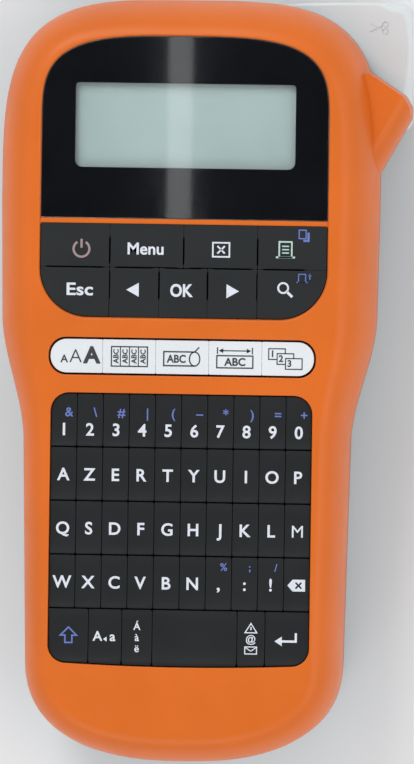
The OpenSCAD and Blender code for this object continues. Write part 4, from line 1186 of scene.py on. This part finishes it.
def make_lever():
    """Curved thumb lever with a broad rolled outer edge, its arm, its pin hole and a sunk
    scissors mark."""
    outline = lever_outline()
    outer = ease((outline[:, 0] - 49) / 5) * ease((outline[:, 1] - PIN[1] - 1) / 6)
    along_top = ease((outline[:, 1] - TOP_Y + 3) / 2.5) * ease((outline[:, 0] - LEVER_LOW[0]) / 8)
    roll = 0.3 + 2.2 * outer + 0.5 * along_top * (1 - outer)
    body = rolled_stack(outline, roll, LEVER_LOW[2] + 0.01, LEVER_HIGH[2], 0.3, 12)
    lever = shape_object("thumb_lever", body)
    arm_y = [TOP_Y - 19.5, TOP_Y - 14]
    arm = prism(np.array([[LEVER_LOW[0] + 3.7, arm_y[0] + 1.5], [LEVER_LOW[0] + 5.5, arm_y[0]],
                          [47.5, arm_y[0]], [47.5, arm_y[1]], [LEVER_LOW[0] + 3.7, arm_y[1]]]),
                LEVER_LOW[2] + 1, LEVER_HIGH[2] - 3.6)
    cut(lever, [arm], "UNION")
    cut(lever, [rod([PIN[0], PIN[1], 0], 0, 60, 1.55)] + scissors())
    smoothed(lever, 30)
    finished(lever, LEVER_WHITE, "lever", ["cutter_lever"])


def scissors():
    """Cutters for the sunk scissors mark: two blades to the left, two finger loops to the right."""
    x, y, z = 50.0, TOP_Y - 6.9, LEVER_HIGH[2]
    made = []
    for side in (-1, 1):
        for path, width, closed in (([(x - 2.6, y + side * 1.1), (x + 0.8, y - side * 0.55)], 0.34, False),
                                    (arc((x + 1.6, y - side * 0.95), 0.72, 0, 340, 20), 0.3, True)):
            points, faces = ribbon(path, width, closed)
            made.append((points * [1, 1, 12] + [0, 0, z], faces))
    return made


make_lever()


# ------------------------------------------------------------------ inner parts
INNER = {
    "lcd_frame": (INNER_PLASTIC, "inner_plastic"), "main_board": (BOARD, "circuit_board"),
    "key_mat": (RUBBER, "mat_rubber"), "print_chassis": (INNER_PLASTIC, "inner_plastic"),
    "print_head": (CERAMIC, "print_head"), "heat_sink": (ALUMINIUM, "aluminium"),
    "platen_roller": (RUBBER, "mat_rubber"), "platen_gear": (GEAR_PLASTIC, "gear_plastic"),
    "motor": (STEEL, "bright_steel"), "motor_pinion": (BRASS, "brass"),
    "reduction_gear": (GEAR_PLASTIC, "gear_plastic"), "idler_gear": (GEAR_PLASTIC, "gear_plastic"),
    "ribbon_spindle": (GEAR_PLASTIC, "gear_plastic"), "gear_axles": (STEEL, "bright_steel"),
    "blade_slider": (GEAR_PLASTIC, "gear_plastic"), "cutter_blade": (STEEL, "bright_steel"),
    "cutter_anvil": (STEEL, "bright_steel"), "lever_pin": (STEEL, "bright_steel"),
    "lever_spring": (STEEL, "bright_steel"), "dc_jack": (SOCKET_PLASTIC, "socket_plastic"),
    "battery_box": (INNER_PLASTIC, "inner_plastic"), "battery_springs": (STEEL, "bright_steel"),
    "battery_contacts": (STEEL, "bright_steel"), "battery_cells": (SLEEVE, "cell_sleeve"),
    "cassette_case": (CASSETTE_PLASTIC, "cassette_plastic"), "tape_reel": (GEAR_PLASTIC, "gear_plastic")}


def dress_inner_parts():
    """Gives every CAD piece that stays in the scene its material and softened edges."""
    for node, (material, slot) in INNER.items():
        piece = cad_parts[node]
        piece.data.materials.clear()
        piece.data.materials.append(material)
        if not node.endswith("spring") and not node.endswith("springs"):
            bevelled(piece, 0.12, 2, 40)
        weighted(piece)


dress_inner_parts()

# ------------------------------------------------------------------ room, lamps and camera
def make_room():
    """Plain pale table top under the object, soft lamps round it and an even sky."""
    bpy.ops.mesh.primitive_plane_add(size=6, location=(0, 0, -0.0004))
    table_top = bpy.context.object
    table_top.name = "table_top"
    material, nodes, links, principled, place = shader("table_paper")
    links.new(ramp(nodes, links, noise(nodes, links, place, 8, 3), (0.86, 0.86, 0.86), (0.9, 0.9, 0.9)),
              principled.inputs["Base Color"])
    principled.inputs["Roughness"].default_value = 0.85
    bump(nodes, links, principled, noise(nodes, links, place, 900), 0.02)
    table_top.data.materials.append(material)
    world = bpy.data.worlds.new("even_sky")
    bpy.context.scene.world = world
    world.use_nodes = True
    nodes, links = world.node_tree.nodes, world.node_tree.links
    split = nodes.new("ShaderNodeSeparateXYZ")
    links.new(nodes.new("ShaderNodeTexCoord").outputs["Generated"], split.inputs["Vector"])
    sky = ramp(nodes, links, split.outputs["Z"], (0.95, 0.97, 1.0), (0.03, 0.03, 0.035), 0.93, 0.985)
    links.new(sky, nodes["Background"].inputs["Color"])
    nodes["Background"].inputs["Strength"].default_value = 0.72
    lamps = [("key_lamp", (-0.35, 0.75, 0.9), (0.5, 0.5), 4.2),
             ("fill_lamp", (0.75, -0.15, 0.75), (0.6, 0.9), 2.2),
             ("foot_lamp", (-0.2, -0.9, 0.7), (0.9, 0.4), 2),
             ("strip_lamp", (-0.077, 0.07, 0.9), (0.008, 0.5), 0.015)]
    for name, at, size, power in lamps:
        lamp = bpy.data.lights.new(name, "AREA")
        lamp.shape = "RECTANGLE"
        lamp.size, lamp.size_y = size
        lamp.energy = power
        made = bpy.data.objects.new(name, lamp)
        bpy.context.scene.collection.objects.link(made)
        made.location = at
        aim = -np.array(at)
        made.rotation_euler = direction_turn(aim)


def direction_turn(aim, roll=0.0):
    """Rotation that points a lamp's or camera's -Z along aim with +Y up the table, plus a roll."""
    back = -Vector(aim).normalized()
    right = Vector((0, 1, 0)).cross(back).normalized()
    up = back.cross(right)
    turn = Matrix((right, up, back)).transposed() @ Matrix.Rotation(roll, 3, "Z")
    return turn.to_euler()


def make_camera():
    """Long lens looking down at the keyboard face from slightly to the right and above."""
    data = bpy.data.cameras.new("camera")
    data.sensor_width = 36
    data.lens = 36 * 4 / 0.2073
    camera = bpy.data.objects.new("camera", data)
    bpy.context.scene.collection.objects.link(camera)
    lean, tilt = math.radians(5), math.radians(1.5)
    target = np.array([6.2, 0, 50]) * MM
    back = np.array([math.sin(lean), math.sin(tilt), math.cos(lean)])
    camera.location = (target + back * 4).tolist()
    camera.rotation_euler = direction_turn(-back, math.radians(0.8))
    bpy.context.scene.camera = camera


make_room()
make_camera()
bpy.context.scene.view_settings.view_transform = "Standard"
